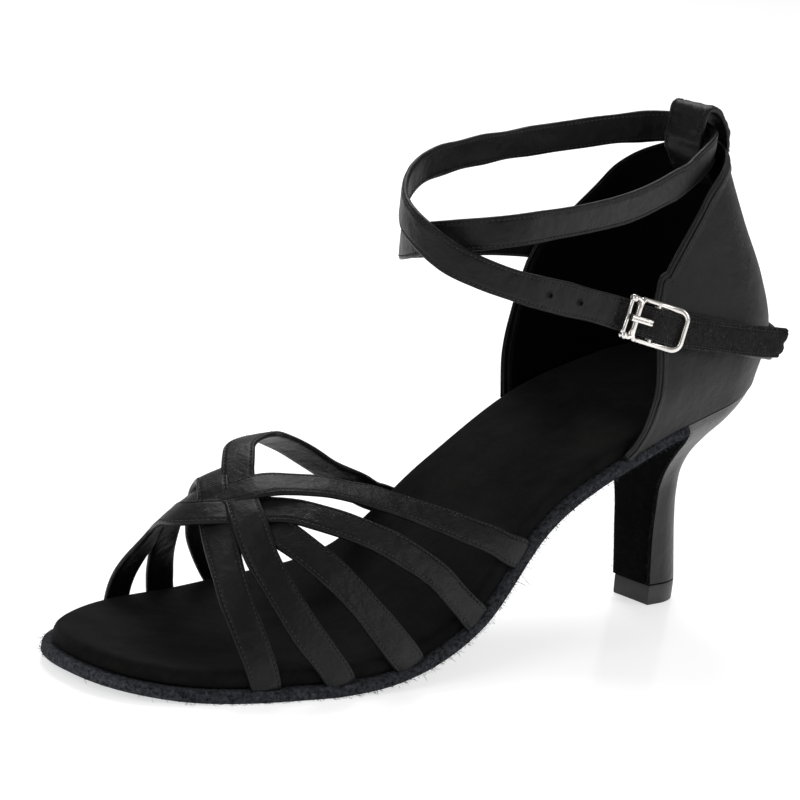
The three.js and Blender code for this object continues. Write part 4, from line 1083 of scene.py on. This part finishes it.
def loop():
    """The fold-over loop, from its inner leg over the ankle strap to the leg on the counter's back."""
    line = catmull([[counter_back[0] + f * LOOP_REACH, 0, counter_back[2] + u * LOOP_REACH]
                    for f, u in LOOP[::-1]])
    along = unit(np.gradient(line, axis=0))
    out = np.stack([along[:, 2], 0 * along[:, 0], -along[:, 0]], -1)
    narrow = through([0, 0.55, 0.8, 1.0], [0.97, 1.0, 0.93, 0.74])
    obj, *_ = ribbon("strap_loop_fold", line - out * LOOP_THICKNESS / 2, out, LOOP_WIDTH,
                     LOOP_THICKNESS, SATIN, seed=44, wave=0.3, step=0.6, widths=narrow, end_shape=loop_root,
                     crumple=0.32)
    dress(obj, "satin", "strap_loop")


loop()


def bar_mesh(path, radius, closed, flat=1.0, sides=14):
    """A softly squared bar along a path, as a ring or with two closed ends."""
    path = np.asarray(path, float)
    if closed:
        along = unit(np.roll(path, -1, 0) - np.roll(path, 1, 0))
    else:
        along = unit(np.gradient(path, axis=0))
    side = unit(np.cross(along, OUT))
    rise = np.cross(side, along)
    ang = np.linspace(0, 2 * np.pi, sides, endpoint=False)
    prof_s = np.sign(np.cos(ang)) * np.abs(np.cos(ang)) ** 0.75
    prof_u = np.sign(np.sin(ang)) * np.abs(np.sin(ang)) ** 0.75 * flat
    r = np.broadcast_to(np.asarray(radius, float), (len(path),))
    grid = path[:, None] + r[:, None, None] * (
        side[:, None] * prof_s[None, :, None] + rise[:, None] * prof_u[None, :, None])
    faces = quads(len(path), sides, wrap_cols=True, wrap_rows=closed).tolist()
    if not closed:
        faces += [list(range(sides))[::-1], [(len(path) - 1) * sides + k for k in range(sides)]]
    return grid.reshape(-1, 3), faces


def strap_holes():
    """The two punched holes of the strap that lie free in front of the buckle, each drawn as a raised rim
    round a near-black disc: the disc is painted shade for the inside of the hole.
    """
    pts, along, side, out = ankle_lie
    half = len(pts) // 2
    at_bar = half + int(np.argmin(np.linalg.norm(pts[half:] - on_buckle(0, 0, ply_gap), axis=1)))
    rims, hole_shades = Soup(), Soup()
    n = HOLE_SIDES
    turn = np.linspace(0, 2 * np.pi, n, endpoint=False)[:, None]
    for away in HOLES_FROM_BUCKLE:
        i = at_bar - int(round(away))
        centre = pts[i] + out[i] * (ANKLE_STRAP_THICKNESS + 0.1)
        circle = along[i] * np.cos(turn) + side[i] * np.sin(turn)
        rims.add(*bar_mesh(centre + circle * HOLE_RADIUS, RIM_RADIUS, True, sides=8))
        # A near-black disc sits where each hole is: painted shade, since the strap itself is not cut.
        low = centre + circle * HOLE_RADIUS - out[i] * HOLE_SHADE_DEPTH
        hole_shades.add(np.vstack([centre + circle * HOLE_RADIUS + out[i] * 0.05, low]),
                 [list(range(n)), list(range(n, 2 * n))[::-1]]
                 + [[k, k + n, (k + 1) % n + n, (k + 1) % n] for k in range(n)])
    dress(rims.build("strap_hole_rims", SATIN_WALL), "satin")
    dress(hole_shades.build("strap_hole_painted_shade", LINING_AND_SHADE), "satin")


def lint():
    """Pale fibres that cling to the felt part of the strap."""
    pts, along, side, out = ankle_lie
    g = np.random.default_rng(5)
    soup = Soup()
    for k in range(LINT_COUNT):
        i = len(pts) - 1 - int(g.integers(3, FELT_LENGTH))
        edge = g.random() < 0.4
        aside = g.choice([-0.47, 0.47]) if edge else g.uniform(-0.45, 0.45)
        root = pts[i] + side[i] * aside * ANKLE_STRAP_WIDTH + out[i] * (ANKLE_STRAP_THICKNESS + 0.12)
        turn = g.uniform(0, np.pi)
        way = along[i] * math.cos(turn) + side[i] * math.sin(turn)
        size = 0.15 + g.exponential(0.25)
        bend = out[i] * g.uniform(0.0, 0.12)
        path = [root - way * size, root + bend, root + way * size]
        soup.add(*rod(path, g.uniform(0.03, 0.07), sides=3, taper=0.5))
    dress(soup.build("strap_lint", LINT), "satin")


strap_holes()
lint()


def buckle():
    """The frame with its centre bar, bail and knobs, and the prong's two wires side by side."""
    frame_soup = Soup()
    window = ANKLE_STRAP_WIDTH + 2 * BUCKLE_SIDE_PLAY
    rail = (window + BUCKLE_BAR) / 2
    corner = BUCKLE_CORNER - BUCKLE_BAR / 2
    flat = []
    for sx, sy, start in ((1, 1, 0), (-1, 1, 1), (-1, -1, 2), (1, -1, 3)):
        for a in np.linspace(start, start + 1, 9) * math.pi / 2:
            flat.append((sx * (end_bar - corner) + corner * math.cos(a),
                         sy * (rail - corner) + corner * math.sin(a)))
    flat = np.array(flat + flat[:1])
    flat3 = np.c_[flat, np.zeros(len(flat))]
    flat3 = even(flat3, 0.6)[:-1]
    path = [on_buckle(x, y, bow * (x / end_bar) ** 2) for x, y, _ in flat3]
    thick = [BUCKLE_BAR / 2 * (1.12 if x > end_bar * 0.75 else 1.0) for x, y, _ in flat3]
    frame_soup.add(*bar_mesh(path, thick, True, flat=0.85))
    centre = [on_buckle(0, y, 0) for y in np.linspace(-rail, rail, 7)]
    frame_soup.add(*bar_mesh(centre, BUCKLE_BAR / 2, False))
    reach = end_bar + OUTER_BAR_REACH
    on_corner = corner * (1 - math.sqrt(0.5))
    bend = [(end_bar - on_corner, rail - on_corner), (end_bar + 0.4 * OUTER_BAR_REACH, rail),
            (end_bar + 0.85 * OUTER_BAR_REACH, rail - 0.25 * OUTER_BAR), (reach, rail - OUTER_BAR)]
    outline = bend + [(reach, 0.0)] + [(x, -y) for x, y in bend[::-1]]
    bail = catmull([on_buckle(x, y, bow) for x, y in outline], 10)
    frame_soup.add(*bar_mesh(bail, OUTER_BAR / 2, False, sides=10))
    knob_turn = np.linspace(0.25, math.pi - 0.25, 9)
    for s in (1, -1):
        x, y = bend[2]
        ball = [on_buckle(x, s * y, bow) + ACROSS * s * KNOB / 2 * math.cos(a) for a in knob_turn]
        size = [KNOB / 2 * math.sin(a) for a in knob_turn]
        frame_soup.add(*bar_mesh(ball, size, False))
    obj = frame_soup.build("buckle_frame_ring", NICKEL, sharp=60)
    dress(obj, "nickel", "buckle_frame")
    hook = BUCKLE_BAR / 2 + CLEARANCE + PRONG_WIRE / 2
    lie = bow + hook
    line = [(-hook, -0.3), (-hook * 0.75, hook * 0.75), (0, hook),
            (0.34 * end_bar, hook + 0.3 * (lie - hook)), (0.52 * end_bar, lie),
            (0.75 * end_bar, lie + 0.1), (end_bar, lie + 0.05), (reach, lie)]
    path = catmull([on_buckle(a, 0, o) for a, o in line], 8)
    soup = Soup()
    for s in (PRONG_SPREAD, -PRONG_SPREAD):
        soup.add(*bar_mesh(path + ACROSS * s, PRONG_WIRE / 2, False, sides=10))
    obj = soup.build("buckle_prong_wire", NICKEL, sharp=60)
    dress(obj, "nickel", "buckle_prong")


buckle()


# Loose pile and threads

def hair(soup, root, way, length, radius, g):
    """One bent fibre that never dips below the floor."""
    bend = unit(g.normal(0, 1, 3)) * length * 0.35
    path = np.array([root, root + way * length * 0.5 + bend * 0.3, root + way * length * 0.85 + bend])
    path[:, 2] = np.maximum(path[:, 2], radius)
    soup.add(*rod(path, radius, sides=3, taper=0.5))


RIM_HAIRS = 5200
FLAP_HAIRS = 700
OUTER_SHARE = 0.72


def sole_fuzz():
    """The suede's loose pile along the sole's cut edge and the flap's two edges."""
    g = np.random.default_rng(17)
    soup = Soup()
    for k in range(RIM_HAIRS):
        u = g.uniform(BREAST, 0.999)
        side = 1 if g.random() < OUTER_SHARE else -1
        height = g.uniform(-0.05, OUTSOLE_THICKNESS)
        root = over_sole(u, sole_centre(u) + side * (half_width(u, 0.0) - 0.1), height)
        v = u + 0.004
        ahead = over_sole(min(1.0, v), sole_centre(v) + side * half_width(v, 0.0), height)
        way = unit(np.cross(ahead - root, [0, 0, 1.0]))
        way = way if way[1] * side > 0 or u > 0.97 else -way
        way = unit(way + g.normal(0, 0.45, 3) + [0, 0, -0.15])
        hair(soup, root, way, 0.3 + g.exponential(0.45), g.uniform(0.035, 0.08), g)
    for k in range(FLAP_HAIRS):
        down = g.random() ** 1.2
        ring = heel_ring(down, 4)
        root = ring[0] if g.random() < 0.7 else ring[-1]
        side = 1 if root[1] > 0 else -1
        root = root + [CLEARANCE + FLAP_THICKNESS * g.random(), -0.1 * side, 0]
        way = unit(np.array([g.normal(0.2, 0.5), side * 1.0, g.normal(-0.1, 0.5)]))
        hair(soup, root, way, g.uniform(0.3, 1.1), g.uniform(0.03, 0.06), g)
    obj = soup.build("sole_fuzz", FUZZ)
    dress(obj, "suede")


sole_fuzz()

threads = stitches.build("stitches", THREAD)
dress(threads, "satin")


# Floor and light

def area(name, place, aim, size, power, size_y=None):
    data = bpy.data.lights.new(name, "AREA")
    data.energy = power
    data.shape = "RECTANGLE" if size_y else "SQUARE"
    data.size = size
    if size_y:
        data.size_y = size_y
    obj = bpy.data.objects.new(name, data)
    obj.location = place
    obj.rotation_euler = (Vector(aim) - Vector(place)).to_track_quat("-Z", "Y").to_euler()
    bpy.context.scene.collection.objects.link(obj)
    return obj


FLOOR = bpy.data.materials.new("floor")
FLOOR.use_nodes = True
sockets = shader(FLOOR).inputs
sockets["Base Color"].default_value = (0.93, 0.93, 0.93, 1)
sockets["Roughness"].default_value = 0.16
sockets["Specular IOR Level"].default_value = 0.5
sockets["Emission Color"].default_value = (1, 1, 1, 1)
sockets["Emission Strength"].default_value = 0.62
me = bpy.data.meshes.new("floor")
me.from_pydata([(-12, -12, 0), (12, -12, 0), (12, 12, 0), (-12, 12, 0)], [], [(0, 1, 2, 3)])
me.materials.append(FLOOR)
floor = bpy.data.objects.new("floor", me)
bpy.context.scene.collection.objects.link(floor)

world = bpy.data.worlds.new("studio")
bpy.context.scene.world = world
world.use_nodes = True
world.node_tree.nodes["Background"].inputs["Color"].default_value = (1, 1, 1, 1)
world.node_tree.nodes["Background"].inputs["Strength"].default_value = 0.3

area("softbox_behind", (-0.42, -0.72, 1.25), (0.09, 0.0, 0.03), 0.75, 10, size_y=0.55)
area("fill_right", (-0.8, 1.0, 0.5), (0.0, 0, 0.08), 0.5, 3)
area("fill_front", (1.4, 0.2, 0.9), (0.1, 0, 0.05), 0.8, 5)

bpy.context.scene.view_settings.view_transform = "Standard"

bpy.context.view_layer.update()
